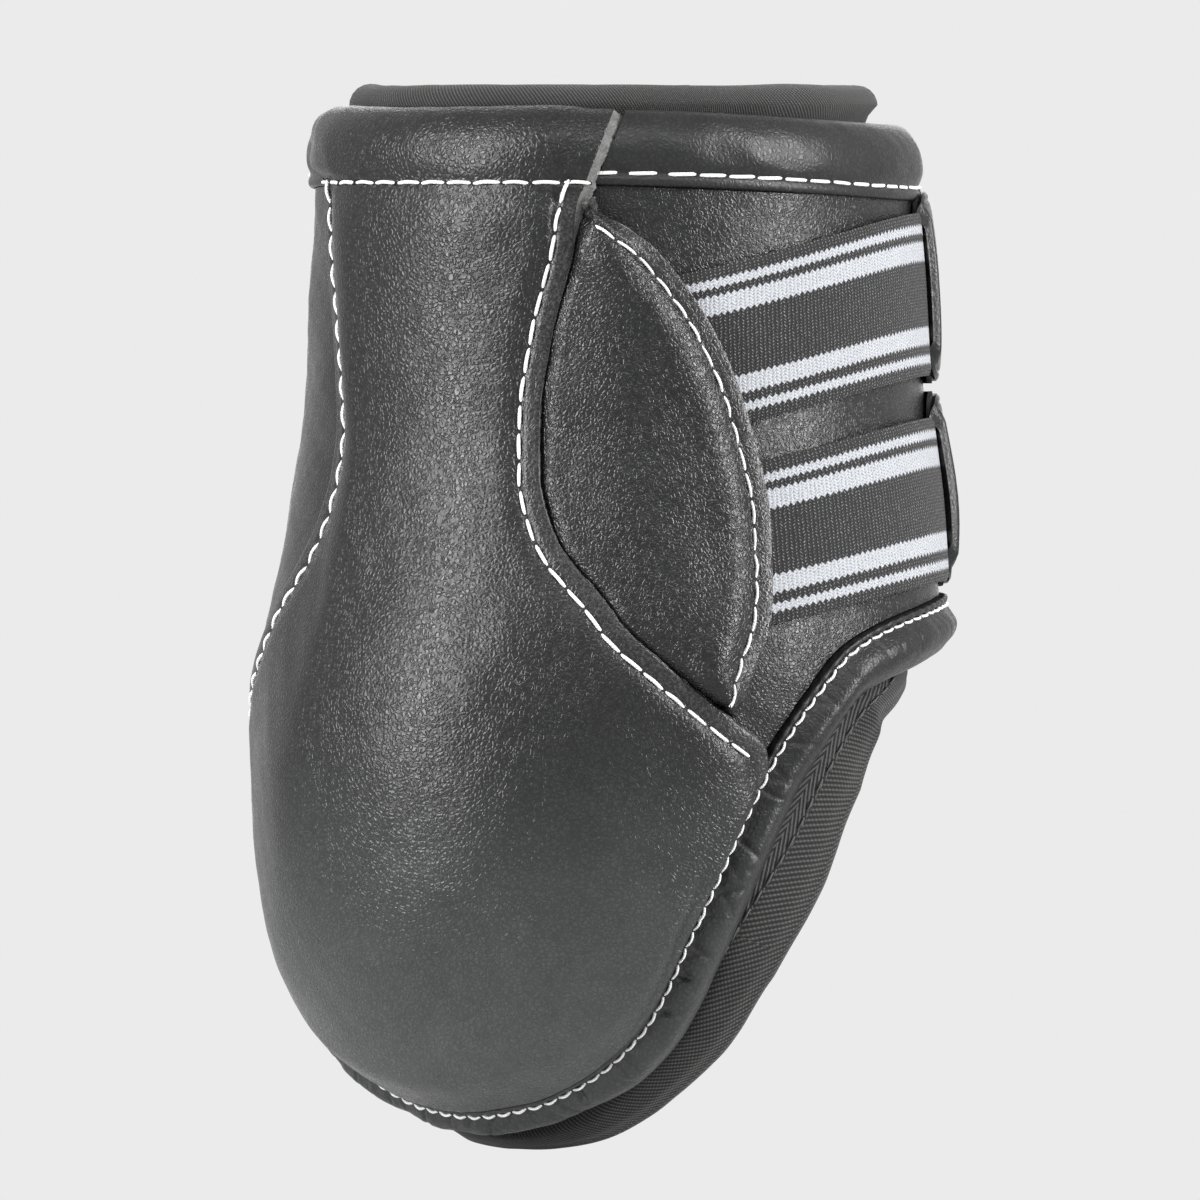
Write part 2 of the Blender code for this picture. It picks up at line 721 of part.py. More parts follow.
def tab_lift(angle):
    """Return the depth of a tab's inner face: it rises over the patches on the lateral wing."""
    share = (angle - TAB_HINGE_ANGLE) / (TAB_FULL_LIFT_ANGLE - TAB_HINGE_ANGLE)
    return blend(LAYER_GAP, LAYER_GAP * 4 + PATCH_THICKNESS * 2, ease(share))


def build_tab(name, middle_height, look, collection, parent):
    """Make a leather tab round the front, crowned across, thin at its edges and rounded at its end."""
    columns, rows = 16, len(TAB_SHARES) - 1
    start = TAB_HINGE_ANGLE + arc_angle(BUTT_GAP)
    round_from, narrowing = TAB_END_SHARES

    def place(column, row, side):
        share = column / columns
        angle = blend(start, TAB_END_ANGLE, share)
        rounding = 1 - narrowing * max(0, (share - round_from) / (1 - round_from)) ** 2
        reach, body, crown = TAB_SHARES[row]
        height = middle_height + TAB_WIDTH / 2 * reach * rounding
        depth = tab_lift(angle) + TAB_CROWN * crown
        return wall_point(angle, height, depth + (TAB_THICKNESS * body if side == 0 else 0))

    layer(name, columns, rows, place, look, collection, parent)


def build_patch(name, middle_height, lift, look, collection, parent=None):
    """Make a patch of hook or loop tape at a depth round the lateral wing."""
    columns, rows = 4, 2

    def place(column, row, side):
        angle = blend(PATCH_ANGLES[0], PATCH_ANGLES[1], column / columns)
        height = middle_height + PATCH_WIDTH * (row / rows - 0.5)
        return wall_point(angle, height, lift + (PATCH_THICKNESS if side == 0 else 0))

    layer(name, columns, rows, place, look, collection, parent)


def remove_default_objects():
    """Empty the file of its objects."""
    for old in list(bpy.data.objects):
        bpy.data.objects.remove(old, do_unlink=True)


def main():
    """Build the boot."""
    remove_default_objects()
    boot = bpy.data.collections.new("hind_fetlock_boot")
    bpy.context.scene.collection.children.link(boot)

    leather = material("grained_leather", (0.035, 0.036, 0.036), 0.42)
    elastic = material("striped_elastic", (0.05, 0.05, 0.055), 0.85)
    lining = material("liner_fabric", (0.028, 0.028, 0.028), 0.80)
    foam = material("wall_foam", (0.060, 0.060, 0.060), 0.95)
    plate = material("strike_plate", (0.020, 0.020, 0.020), 0.50)
    tape = material("edge_tape", (0.022, 0.022, 0.022), 0.90)
    hook = material("hook_and_loop", (0.020, 0.020, 0.020), 0.95)
    rolls = (leather, foam)

    wing_foot = hem_height(FLEX_ANGLE)
    wing_axis = hinge_empty("medial_wing_axis", FLEX_ANGLE, wing_foot, BOOT_HEIGHT, STRAP_OUTER, boot)
    rear_flex = FLEX_ANGLE - arc_angle(BUTT_GAP) / 2
    front_flex = FLEX_ANGLE + arc_angle(BUTT_GAP) / 2

    build_back_panel(leather, boot)
    build_strike_plate(plate, boot)
    build_wing("lateral_wing_panel", -1, FRONT_ANGLE, LATERAL_WING_COLUMNS, leather, boot)
    build_wing("medial_wing_root", 1, rear_flex, WING_ROOT_COLUMNS, leather, boot)
    build_wing("medial_wing_panel", 1, FRONT_ANGLE, MEDIAL_WING_COLUMNS, leather, boot, wing_axis,
               start_angle=front_flex)
    build_leaf(leather, boot)
    build_leaf_pad(foam, boot)

    shell_angles = hem_angles(-FRONT_ANGLE, rear_flex, SHELL_COLUMNS)
    wing_angles = hem_angles(front_flex, FRONT_ANGLE, FLEX_COLUMNS)
    build_foam("shell_foam", shell_angles, SHELL_FOAM_ROWS, foam, boot)
    build_foam("medial_foam", wing_angles, MEDIAL_FOAM_ROWS, foam, boot, wing_axis)
    build_strip("back_liner_strip", BACK_STRIP_ANGLE, hook, boot)
    build_strip("lateral_liner_strip", LATERAL_STRIP_ANGLE, hook, boot)
    build_strip("medial_liner_strip", MEDIAL_STRIP_ANGLE, hook, boot, wing_axis)
    build_liner("shell_liner", shell_angles, lining, boot)
    build_liner("medial_liner", wing_angles, lining, boot, wing_axis)

    half_gap = arc_angle(BUTT_GAP) / 2
    split_foot, split_top = COLLAR_SPLIT_ANGLES
    split, lean = (split_foot + split_top) / 2, split_top - split_foot
    back_angles = even_angles(half_gap - split, split - half_gap, BACK_COLLAR_COLUMNS)
    lateral_angles = even_angles(-FRONT_ANGLE, -split - half_gap, LATERAL_COLLAR_COLUMNS)
    root_angles = even_angles(split + half_gap, rear_flex, COLLAR_ROOT_COLUMNS)
    medial_angles = even_angles(front_flex, FRONT_ANGLE, FLEX_COLUMNS)
    build_collar("back_collar", back_angles, BACK_COLLAR_SPREAD, rolls, boot, slants=(-lean, lean))
    build_collar("lateral_collar", lateral_angles, COLLAR_SPREAD, rolls, boot, slants=(0, -lean))
    build_collar("medial_collar_root", root_angles, COLLAR_SPREAD, rolls, boot, slants=(lean, 0))
    build_collar("medial_collar", medial_angles, COLLAR_SPREAD, rolls, boot, wing_axis)
    build_hem_roll("shell_hem", shell_angles, rolls, boot)
    build_hem_roll("medial_hem", wing_angles, rolls, boot, wing_axis)
    build_tape("shell_hem_tape", shell_angles, tape, boot)
    build_tape("medial_hem_tape", wing_angles, tape, boot, wing_axis)

    straps = (("upper", UPPER_ROOT_HEIGHT, UPPER_TAB_HEIGHT), ("lower", LOWER_ROOT_HEIGHT, LOWER_TAB_HEIGHT))
    elastic_start = STRAP_HINGE_ANGLE + half_gap
    elastic_end = TAB_HINGE_ANGLE - arc_angle(BUTT_GAP)
    hook_lift = LAYER_GAP + PATCH_THICKNESS + LAYER_GAP
    tab_outer = LAYER_GAP + TAB_CROWN + TAB_THICKNESS
    for name, root_height, tab_height in straps:
        strap_low, strap_high = root_height - STRAP_WIDTH / 2, root_height + STRAP_WIDTH / 2
        tab_low, tab_high = tab_height - TAB_WIDTH / 2, tab_height + TAB_WIDTH / 2
        strap_spot = (STRAP_HINGE_ANGLE, strap_low, strap_high, STRAP_OUTER)
        tab_spot = (TAB_HINGE_ANGLE, tab_low, tab_high, tab_outer)
        strap_axis = hinge_empty(f"{name}_strap_axis", *strap_spot, boot)
        tab_axis = hinge_empty(f"{name}_tab_axis", *tab_spot, boot)
        build_strap_end(f"{name}_strap_end", root_height, elastic, boot)
        build_elastic(f"{name}_elastic", root_height, elastic_start, elastic_end, elastic, boot, strap_axis)
        build_tab(f"{name}_tab", tab_height, leather, boot, tab_axis)
        build_patch(f"{name}_hook_patch", tab_height, hook_lift + LAYER_GAP / 2, hook, boot, tab_axis)
        build_patch(f"{name}_loop_patch", tab_height, LAYER_GAP, hook, boot)


main()
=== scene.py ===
"""Dress a hind fetlock boot: grained leather, striped elastic, a soft liner and white stitching.

The boot stands round the leg axis, +Z up, with the origin on that axis at the cup's fullest level. Angles are
in degrees round that axis, from the back midline (-Y) toward +X, the side that carries the straps' roots.
Heights are above the boot's lowest level. A depth is a distance outward from the wing leather's outer face.
"""

import logging
import math
from collections.abc import Callable, Sequence
from dataclasses import dataclass, field
from enum import Enum
from typing import Any

import bmesh
import bpy
import numpy as np
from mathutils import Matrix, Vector
from mathutils.bvhtree import BVHTree

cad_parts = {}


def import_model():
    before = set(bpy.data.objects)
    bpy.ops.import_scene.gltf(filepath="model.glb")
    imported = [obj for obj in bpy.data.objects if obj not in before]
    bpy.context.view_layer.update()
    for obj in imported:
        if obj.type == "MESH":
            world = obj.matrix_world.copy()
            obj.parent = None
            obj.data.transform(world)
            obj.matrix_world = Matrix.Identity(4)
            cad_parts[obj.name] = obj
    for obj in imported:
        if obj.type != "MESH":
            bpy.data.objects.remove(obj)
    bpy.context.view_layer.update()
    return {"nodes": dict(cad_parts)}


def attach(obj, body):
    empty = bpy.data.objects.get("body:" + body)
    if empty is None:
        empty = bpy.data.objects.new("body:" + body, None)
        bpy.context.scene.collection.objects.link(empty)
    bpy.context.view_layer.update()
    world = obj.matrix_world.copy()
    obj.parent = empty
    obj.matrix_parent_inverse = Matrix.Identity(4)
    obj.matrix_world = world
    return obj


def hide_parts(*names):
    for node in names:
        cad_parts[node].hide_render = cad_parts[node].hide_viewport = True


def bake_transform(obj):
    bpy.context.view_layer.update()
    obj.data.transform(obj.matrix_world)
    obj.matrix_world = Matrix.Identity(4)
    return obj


LOG = logging.getLogger("boot")
MM = 0.001
Array = np.ndarray


class Body(Enum):
    """The bodies that pieces ride on."""

    SHELL = "shell"
    WING = "medial_wing"
    UPPER_STRAP = "upper_strap"
    LOWER_STRAP = "lower_strap"
    UPPER_TAB = "upper_tab"
    LOWER_TAB = "lower_tab"


class Slot(Enum):
    """The record's material slots, of the pieces that are made here."""

    LEATHER = "leather"
    ELASTIC = "elastic"
    LINER = "liner"
    FOAM = "foam"
    TAPE = "tape"


def mixed(start: Any, end: Any, share: Any) -> Any:
    """Return the value a share of the way from start to end."""
    return start + (end - start) * share


def eased(share: Array | float) -> Array:
    """Return a smooth step from 0 to 1."""
    share = np.clip(share, 0.0, 1.0)
    return share * share * (3 - 2 * share)


def bell(distance: Array, reach: float) -> Array:
    """Return a smooth hump that is 1 at no distance and fades out over the reach."""
    return np.exp(-((distance / reach) ** 2))


def bunched(share: Array) -> Array:
    """Return shares from 0 to 1, drawn closer together toward both ends."""
    return 0.5 - 0.5 * np.cos(math.pi * share)


def unit(vectors: Array) -> Array:
    """Return vectors at length one."""
    return vectors / np.maximum(np.linalg.norm(vectors, axis=-1, keepdims=True), 1e-12)


def run_lengths(points: Array) -> Array:
    """Return each point's distance along the line through the points."""
    steps = np.linalg.norm(np.diff(points, axis=0), axis=-1)
    return np.concatenate(([0.0], np.cumsum(steps)))


def gap_to(points: Array, line: Array) -> Array:
    """Return the distance from each point to the nearest stretch of a line of points.

    Args:
        points: The points, in any shape, with x, y and z last.
        line: The line's points.

    Returns:
        The distances, in the points' shape.
    """
    start, run = line[:-1], np.diff(line, axis=0)
    square = np.maximum((run**2).sum(axis=-1), 1e-18)
    nearest = np.empty(points[..., 0].size)
    flat = points.reshape(-1, 3)
    for first in range(0, len(flat), 2048):
        part = flat[first:first + 2048, None, :] - start[None]
        share = np.clip((part * run).sum(axis=-1) / square, 0.0, 1.0)
        away = part - share[..., None] * run
        nearest[first:first + 2048] = np.sqrt((away**2).sum(axis=-1).min(axis=1))
    return nearest.reshape(points.shape[:-1])


@dataclass(frozen=True)
class Stations:
    """A smooth curve through stations of place and value, flat beyond its ends."""

    rows: tuple[tuple[float, ...], ...]

    def at(self, position: Array | float, column: int = 1) -> Array:
        """Read the curve.

        Args:
            position: Where to read it.
            column: The column of values to read.

        Returns:
            The curve's values at the positions.
        """
        table = np.array(self.rows, float)
        places, values = table[:, 0], table[:, column]
        rise = np.diff(values) / np.diff(places)
        product = rise[:-1] * rise[1:]
        total = np.where(product > 0, rise[:-1] + rise[1:], 1.0)
        inner = np.where(product > 0, 2 * product / total, 0.0)
        slopes = np.concatenate(([0.0], inner, [0.0]))
        index = np.clip(np.searchsorted(places, position, side="right") - 1, 0, len(places) - 2)
        span = places[index + 1] - places[index]
        share = np.clip((position - places[index]) / span, 0.0, 1.0)
        start, end = values[index], values[index + 1]
        return (
            start * (1 + 2 * share) * (1 - share) ** 2
            + slopes[index] * span * share * (1 - share) ** 2
            + end * share**2 * (3 - 2 * share)
            + slopes[index + 1] * span * share**2 * (share - 1)
        )


@dataclass(frozen=True)
class Unevenness:
    """Gentle waves over a surface, the same at each run."""

    wavelength: float
    height: float
    seed: int
    waves: int = 9

    def at(self, points: Array) -> Array:
        """Return the height of the waves at points, as a distance."""
        chance = np.random.default_rng(self.seed)
        total = np.zeros(points.shape[:-1])
        for _ in range(self.waves):
            direction = unit(chance.normal(size=3))
            pace = 2 * math.pi / (self.wavelength * chance.uniform(0.7, 1.6))
            total += np.sin(points @ direction * pace + chance.uniform(0, 2 * math.pi))
        return total * self.height / math.sqrt(self.waves)


def waves(points: Array, *kinds: tuple[float, float, int]) -> Array:
    """Return the height of waves at points, from each kind's wavelength and height, in mm, and its seed."""
    return sum(Unevenness(length * MM, height * MM, seed).at(points) for length, height, seed in kinds)


def placed(name: str, data: bpy.types.ID) -> bpy.types.Object:
    """Return a new object of the data, in the scene."""
    made = bpy.data.objects.new(name, data)
    bpy.context.scene.collection.objects.link(made)
    return made


def corner_points(mesh: bpy.types.Mesh) -> Array:
    """Return the number of the point at each of the faces' corners."""
    corners = np.zeros(len(mesh.loops), np.int32)
    mesh.loops.foreach_get("vertex_index", corners)
    return corners


@dataclass(frozen=True)
class BootWall:
    """The curved wall that every layer of the boot follows, and the lines on it."""

    height: float = 0.168
    cup_level: float = 0.062
    side_radius: float = 0.0488
    back_radius: float = 0.0490
    front_radius: float = 0.0498
    collar_foot: float = 0.1565
    collar_height: float = 0.0115
    collar_dip: float = 0.0024
    dip_start: float = 33.5
    dip_end: float = 119.0
    front_angle: float = 160.0
    flex_angle: float = 65.6
    split_angle: float = 50.0
    seam_allowance: float = 0.0080
    gap: float = 0.5 * MM
    butt: float = 0.4 * MM
    leather: float = 1.4 * MM
    foam: tuple[float, float] = (-2.2 * MM, -5.6 * MM)
    liner: tuple[float, float] = (-7.6 * MM, -14.6 * MM)
    profile: Stations = Stations((
        (-0.080, 0.15, 0.40, 1.02), (0.000, 0.42, 0.60, 1.02), (0.043, 0.64, 0.77, 1.02),
        (0.089, 0.80, 0.92, 1.02), (0.147, 0.930, 1.055, 1.02), (0.202, 1.005, 1.148, 1.02),
        (0.268, 1.045, 1.212, 1.02), (0.351, 1.085, 1.236, 1.00), (0.417, 1.122, 1.218, 0.96),
        (0.488, 1.150, 1.165, 0.93), (0.548, 1.122, 1.104, 0.95), (0.631, 1.078, 1.039, 0.99),
        (0.702, 1.035, 1.006, 1.00), (0.833, 1.000, 1.000, 1.00), (0.923, 0.977, 1.000, 0.99),
        (1.100, 0.975, 1.000, 0.99),
    ))
    hem_shares: Stations = Stations((
        (0.0, 0.0435), (17.0, 0.053), (25.0, 0.0655), (32.7, 0.0845), (40.4, 0.119), (44.0, 0.150),
        (48.2, 0.204), (51.8, 0.249), (57.0, 0.313), (63.4, 0.384), (70.0, 0.438), (78.1, 0.486),
        (86.0, 0.506), (96.0, 0.520), (112.0, 0.533), (127.0, 0.538), (240.0, 0.540),
    ))
    seam_shares: Stations = Stations((
        (0.370, 62.0), (0.389, 61.3), (0.412, 56.0), (0.442, 49.4), (0.475, 42.7), (0.499, 38.4),
        (0.526, 35.1), (0.555, 30.9), (0.573, 28.5), (0.602, 26.1), (0.645, 24.3), (0.705, 24.0),
        (0.774, 25.7), (0.845, 28.9), (0.913, 32.0), (0.935, 33.6),
    ))
    leaf_shares: Stations = Stations((
        (0.395, 53.6), (0.411, 55.6), (0.464, 59.4), (0.500, 62.0), (0.545, 63.2), (0.604, 63.6),
        (0.676, 62.0), (0.747, 58.2), (0.804, 52.9), (0.863, 44.4), (0.922, 32.0),
    ))

    def base(self, angle: Array | float, height: Array | float) -> Array:
        """Return points of the wing leather's outer face at angles and heights."""
        angle, height = np.broadcast_arrays(np.asarray(angle, float), np.asarray(height, float))
        share = height / self.height
        side = self.side_radius * self.profile.at(share, 1)
        back = self.back_radius * self.profile.at(share, 2)
        front = self.front_radius * self.profile.at(share, 3)
        across, along = np.sin(np.radians(angle)), np.cos(np.radians(angle))
        radius = 1 / np.hypot(across / side, along / np.where(along > 0, back, front))
        return np.stack([radius * across, -radius * along, height - self.cup_level], axis=-1)

    def normal(self, angle: Array | float, height: Array | float) -> Array:
        """Return the wall's outward directions at angles and heights."""
        angle, height = np.broadcast_arrays(np.asarray(angle, float), np.asarray(height, float))
        step = 0.3 * MM
        turn = self.arc(step)
        around = self.base(angle + turn, height) - self.base(angle - turn, height)
        up = self.base(angle, height + step) - self.base(angle, height - step)
        return unit(np.cross(around, up))

    def point(self, angle: Array | float, height: Array | float, depth: Array | float) -> Array:
        """Return points at a depth outward from the wall."""
        return self.base(angle, height) + self.normal(angle, height) * np.asarray(depth, float)[..., None]

    def arc(self, length: Array | float) -> Array | float:
        """Return the angle that a length spans along the neck."""
        return np.degrees(np.asarray(length) / self.side_radius)

    def hem(self, angle: Array | float) -> Array:
        """Return the height of the hem's groove at angles."""
        return self.height * self.hem_shares.at(np.abs(angle))

    def past_hem(self, angle: Array, drop: Array, depth: Array, calm: float = 0.3 * MM) -> Array:
        """Return points a distance past the hem's groove, straight on from the wall.

        Args:
            angle: The angles.
            drop: The distance past the groove.
            depth: The depth outward.
            calm: How far along the hem its bends are evened out.

        Returns:
            The points.
        """
        turn = self.arc(calm)
        angle = np.asarray(angle, float)
        before = self.base(angle - turn, self.hem(angle - turn))
        after = self.base(angle + turn, self.hem(angle + turn))
        normal = self.normal(angle, self.hem(angle))
        away = unit(np.cross(unit(after - before), normal))
        start = self.base(angle, self.hem(angle))
        return start + away * np.asarray(drop)[..., None] + normal * np.asarray(depth)[..., None]

    def seam(self, height: Array | float) -> Array:
        """Return the angle of the back panel's raw edge at heights."""
        return self.seam_shares.at(np.asarray(height) / self.height)

    def leaf(self, height: Array | float) -> Array:
        """Return the angle of the leaf's raw edge at heights."""
        return self.leaf_shares.at(np.asarray(height) / self.height)

    def under(self, height: Array | float) -> Array:
        """Return the angle where a layer under the back panel starts, at heights."""
        return self.seam(height) - self.arc(self.seam_allowance)

    def dip(self, angle: Array | float) -> Array:
        """Return how far the collar has dropped at angles, toward the front."""
        return self.collar_dip * eased((np.abs(angle) - self.dip_start) / (self.dip_end - self.dip_start))

    def hem_angles(self, start: float, end: float, count: int) -> Array:
        """Return count + 1 angles from start to end, evenly spaced along the hem."""
        fine = np.linspace(start, end, count * 6 + 1)
        lengths = run_lengths(self.base(fine, self.hem(fine)))
        return np.interp(np.linspace(0.0, lengths[-1], count + 1), lengths, fine)

    def crossing(self, angle: float, height: float = 0.120) -> tuple[float, float, float]:
        """Return a point of the wall's outer face as plain numbers."""
        return tuple(float(v) for v in self.base(angle, height))


WALL = BootWall()


def math_method(operation: str, flipped: bool = False) -> Callable[..., "Field"]:
    """Return a method that adds the Math node of an operation on a field and another value.

    Args:
        operation: The node's operation.
        flipped: Whether the other value comes first.

    Returns:
        The method.
    """
    def method(self: "Field", other: Any = 0.0) -> "Field":
        """Return the operation's result."""
        pair = (other, self) if flipped else (self, other)
        return self.shop.node("ShaderNodeMath", {"operation": operation}, dict(enumerate(pair)))

    return method


class Field:
    """A shader socket in a Python expression: each operation adds its Math node."""

    def __init__(self, shop: "NodeShop", socket: bpy.types.NodeSocket) -> None:
        """Wrap an output socket, with what adds the nodes."""
        self.shop = shop
        self.socket = socket

    __add__ = math_method("ADD")
    __radd__ = math_method("ADD", flipped=True)
    __sub__ = math_method("SUBTRACT")
    __rsub__ = math_method("SUBTRACT", flipped=True)
    __mul__ = math_method("MULTIPLY")
    __rmul__ = math_method("MULTIPLY", flipped=True)
    __truediv__ = math_method("DIVIDE")
    __pow__ = math_method("POWER")
    wrapped = math_method("FRACT")
    size = math_method("ABSOLUTE")

    def zigzag(self) -> "Field":
        """Return a fold from 1 down to 0 and back up, once for each whole step of the value."""
        return (self.wrapped() - 0.5).size() * 2

    def step(self, low: float, high: float) -> "Field":
        """Return a smooth step that is 0 at low and 1 at high."""
        settings = {"interpolation_type": "SMOOTHSTEP"}
        return self.shop.node("ShaderNodeMapRange", settings, {0: self, 1: low, 2: high})


class NodeShop:
    """Adds nodes to a tree."""

    def __init__(self, tree: bpy.types.NodeTree) -> None:
        """Keep the tree that the nodes go into."""
        self.tree = tree

    def node(self, kind: str, settings: dict[str, Any], inputs: dict[Any, Any], output: Any = 0) -> Field:
        """Add a node.

        Args:
            kind: The node's type.
            settings: Its settings, which are set first.
            inputs: Values or links of its sockets, by name or number.
            output: The output socket that is wanted.

        Returns:
            The output as a field.
        """
        made = self.tree.nodes.new(kind)
        for name, value in settings.items():
            setattr(made, name, value)
        for key, value in inputs.items():
            if isinstance(value, Field):
                self.tree.links.new(value.socket, made.inputs[key])
            else:
                made.inputs[key].default_value = value
        return Field(self, made.outputs[output])

    def place(self) -> Field:
        """Return the place on the piece, in metres."""
        return self.node("ShaderNodeTexCoord", {}, {}, "Object")

    def pattern(self) -> tuple[Field, Field]:
        """Return the places along and across the piece's own pattern, in metres."""
        spot = self.node("ShaderNodeUVMap", {"uv_map": "Pattern"}, {})
        return tuple(self.node("ShaderNodeSeparateXYZ", {}, {0: spot}, side) for side in (0, 1))

    def attribute(self, name: str) -> Field:
        """Return a value that the mesh holds at each point."""
        return self.node("ShaderNodeAttribute", {"attribute_name": name}, {}, "Fac")

    def noise(self, spot: Field, size: float, detail: float = 2.0, rough: float = 0.5) -> Field:
        """Return soft random values from 0 to 1 with blots of a size in metres."""
        values = {"Vector": spot, "Scale": 1 / size, "Detail": detail, "Roughness": rough}
        return self.node("ShaderNodeTexNoise", {}, values)

    def wandering(self, spot: Field, size: float, amount: float) -> Field:
        """Return places moved about by an amount, in blots of a size."""
        values = {"Vector": spot, "Scale": 1 / size, "Detail": 1.0}
        drift = self.node("ShaderNodeTexNoise", {}, values, "Color")
        inputs = {0: drift, 1: (amount, amount, amount), 2: spot}
        return self.node("ShaderNodeVectorMath", {"operation": "MULTIPLY_ADD"}, inputs)

    def colour(self, first: Any, second: Any, share: Any) -> Field:
        """Return a colour a share of the way between two colours."""
        made = self.tree.nodes.new("ShaderNodeMix")
        made.data_type = "RGBA"
        for key, value in (("Factor", share), ("A", first), ("B", second)):
            kind = "VALUE" if key == "Factor" else "RGBA"
            socket = next(s for s in made.inputs if s.name == key and s.type == kind)
            if isinstance(value, Field):
                self.tree.links.new(value.socket, socket)
            else:
                socket.default_value = (*value, 1.0) if kind == "RGBA" else value
        return Field(self, next(s for s in made.outputs if s.type == "RGBA"))

    def seen(self) -> Field:
        """Return 1 for what the camera sees straight, mirrored or through glass, and 0 for the rest."""
        rays = [self.node("ShaderNodeLightPath", {}, {}, ray)
                for ray in ("Is Camera Ray", "Is Glossy Ray", "Is Transmission Ray")]
        return (rays[0] + rays[1] + rays[2]).step(0.0, 1.0)

    def bump(self, height: Field, rise: float) -> Field:
        """Return a surface direction that a height field of a rise in metres gives."""
        return self.node("ShaderNodeBump", {}, {"Height": height, "Distance": rise, "Strength": 1.0})


Colour = tuple[float, float, float]


def grey(level: float) -> Colour:
    """Return a colour without a hue."""
    return (level, level, level)


@dataclass(frozen=True)
class Finish:
    """A surface finish; its kinds below say how it looks."""

    name: str

    def build(self) -> bpy.types.Material:
        """Return the finish as a material."""
        made = bpy.data.materials.new(self.name)
        made.use_nodes = True
        self.dress(NodeShop(made.node_tree), made.node_tree.nodes["Principled BSDF"])
        return made

    def dress(self, shop: NodeShop, shader: bpy.types.Node) -> None:
        """Set the shader's sockets and links."""
        raise NotImplementedError

    @staticmethod
    def feed(shop: NodeShop, shader: bpy.types.Node, **values: Any) -> None:
        """Link or set the shader's sockets, named with underscores for blanks."""
        for key, value in values.items():
            socket = shader.inputs[key.replace("_", " ")]
            if isinstance(value, Field):
                shop.tree.links.new(value.socket, socket)
            else:
                socket.default_value = value


@dataclass(frozen=True)
class Leather(Finish):
    """Black leather with a pebbled grain, smoother and darker where a piece's margin says so."""

    dark: Colour = (0.0020, 0.0022, 0.0022)
    light: Colour = (0.0115, 0.0120, 0.0118)
    # The pale colour of the painted light from below, on the leather's lowest parts.
    painted_underlight: Colour = (0.068, 0.071, 0.070)
    frayed: Colour = (0.075, 0.076, 0.074)
    pebble: float = 0.78 * MM
    rise: float = 0.070 * MM
    gloss: float = 0.24
    underlight_paint: float = 0.0

    def dress(self, shop: NodeShop, shader: bpy.types.Node) -> None:
        """Give the leather its pebbles, creases and worn patches, and where asked a painted light from below
        that lightens its lowest parts.
        """
        spot = shop.place()
        bent = shop.wandering(spot, 1.4 * MM, 1.1 * MM)
        values = {"Vector": bent, "Scale": 1 / self.pebble}
        cells = shop.node("ShaderNodeTexVoronoi", {"feature": "DISTANCE_TO_EDGE"}, values, "Distance")
        pebbles = cells.step(0.0, 0.32)
        fine = shop.noise(spot, 0.20 * MM, 3.0, 0.6)
        broad = shop.noise(spot, 24 * MM, 2.0)
        worn = shop.noise(spot, 4.5 * MM, 4.0, 0.6)
        grained = 1 - shop.attribute("margin") * 0.40
        height = (pebbles * 0.80 + fine * 0.10) * grained
        tone = (pebbles * 0.70 + broad * 0.25 + worn * 0.15) * (1 - shop.attribute("margin") * 0.15)
        fray = shop.attribute("margin") * shop.noise(spot, 0.5 * MM, 5.0, 0.75).step(0.42, 0.70)
        colour = shop.colour(shop.colour(self.dark, self.light, tone), self.frayed, fray * 0.6)
        # Painted light from below: the colour turns lighter toward the boot's lowest levels, standing in for
        # light bounced up from the floor.
        if self.underlight_paint:
            level = shop.node("ShaderNodeSeparateXYZ", {}, {"Vector": spot}, "Z")
            low = 1 - (level + broad * 0.02).step(-0.045, 0.020)
            colour = shop.colour(colour, self.painted_underlight, low * (pebbles * 0.3 + worn * 0.4 + 0.45) * self.underlight_paint)
        self.feed(
            shop, shader,
            Base_Color=colour,
            Roughness=worn * 0.10 + (self.gloss - 0.04) + (1 - pebbles) * 0.10,
            Specular_IOR_Level=0.35,
            Normal=shop.bump(height, self.rise),
        )


@dataclass(frozen=True)
class RawEdge(Finish):
    """The fibrous cut edge or back of leather."""

    dark: Colour = (0.050, 0.051, 0.051)
    light: Colour = (0.17, 0.17, 0.166)
    amount: float = 0.45
    fibre: float = 0.40 * MM

    def dress(self, shop: NodeShop, shader: bpy.types.Node) -> None:
        """Give the edge its fibres."""
        spot = shop.place()
        fibres = shop.noise(spot, self.fibre, 5.0, 0.75)
        clumps = shop.noise(spot, 4 * self.fibre, 3.0, 0.6)
        tone = (fibres * 0.7 + clumps * 0.5).step(0.48 - self.amount * 0.4, 0.78)
        self.feed(
            shop, shader,
            Base_Color=shop.colour(self.dark, self.light, tone),
            Roughness=0.95,
            Normal=shop.bump(fibres, 0.22 * MM),
        )


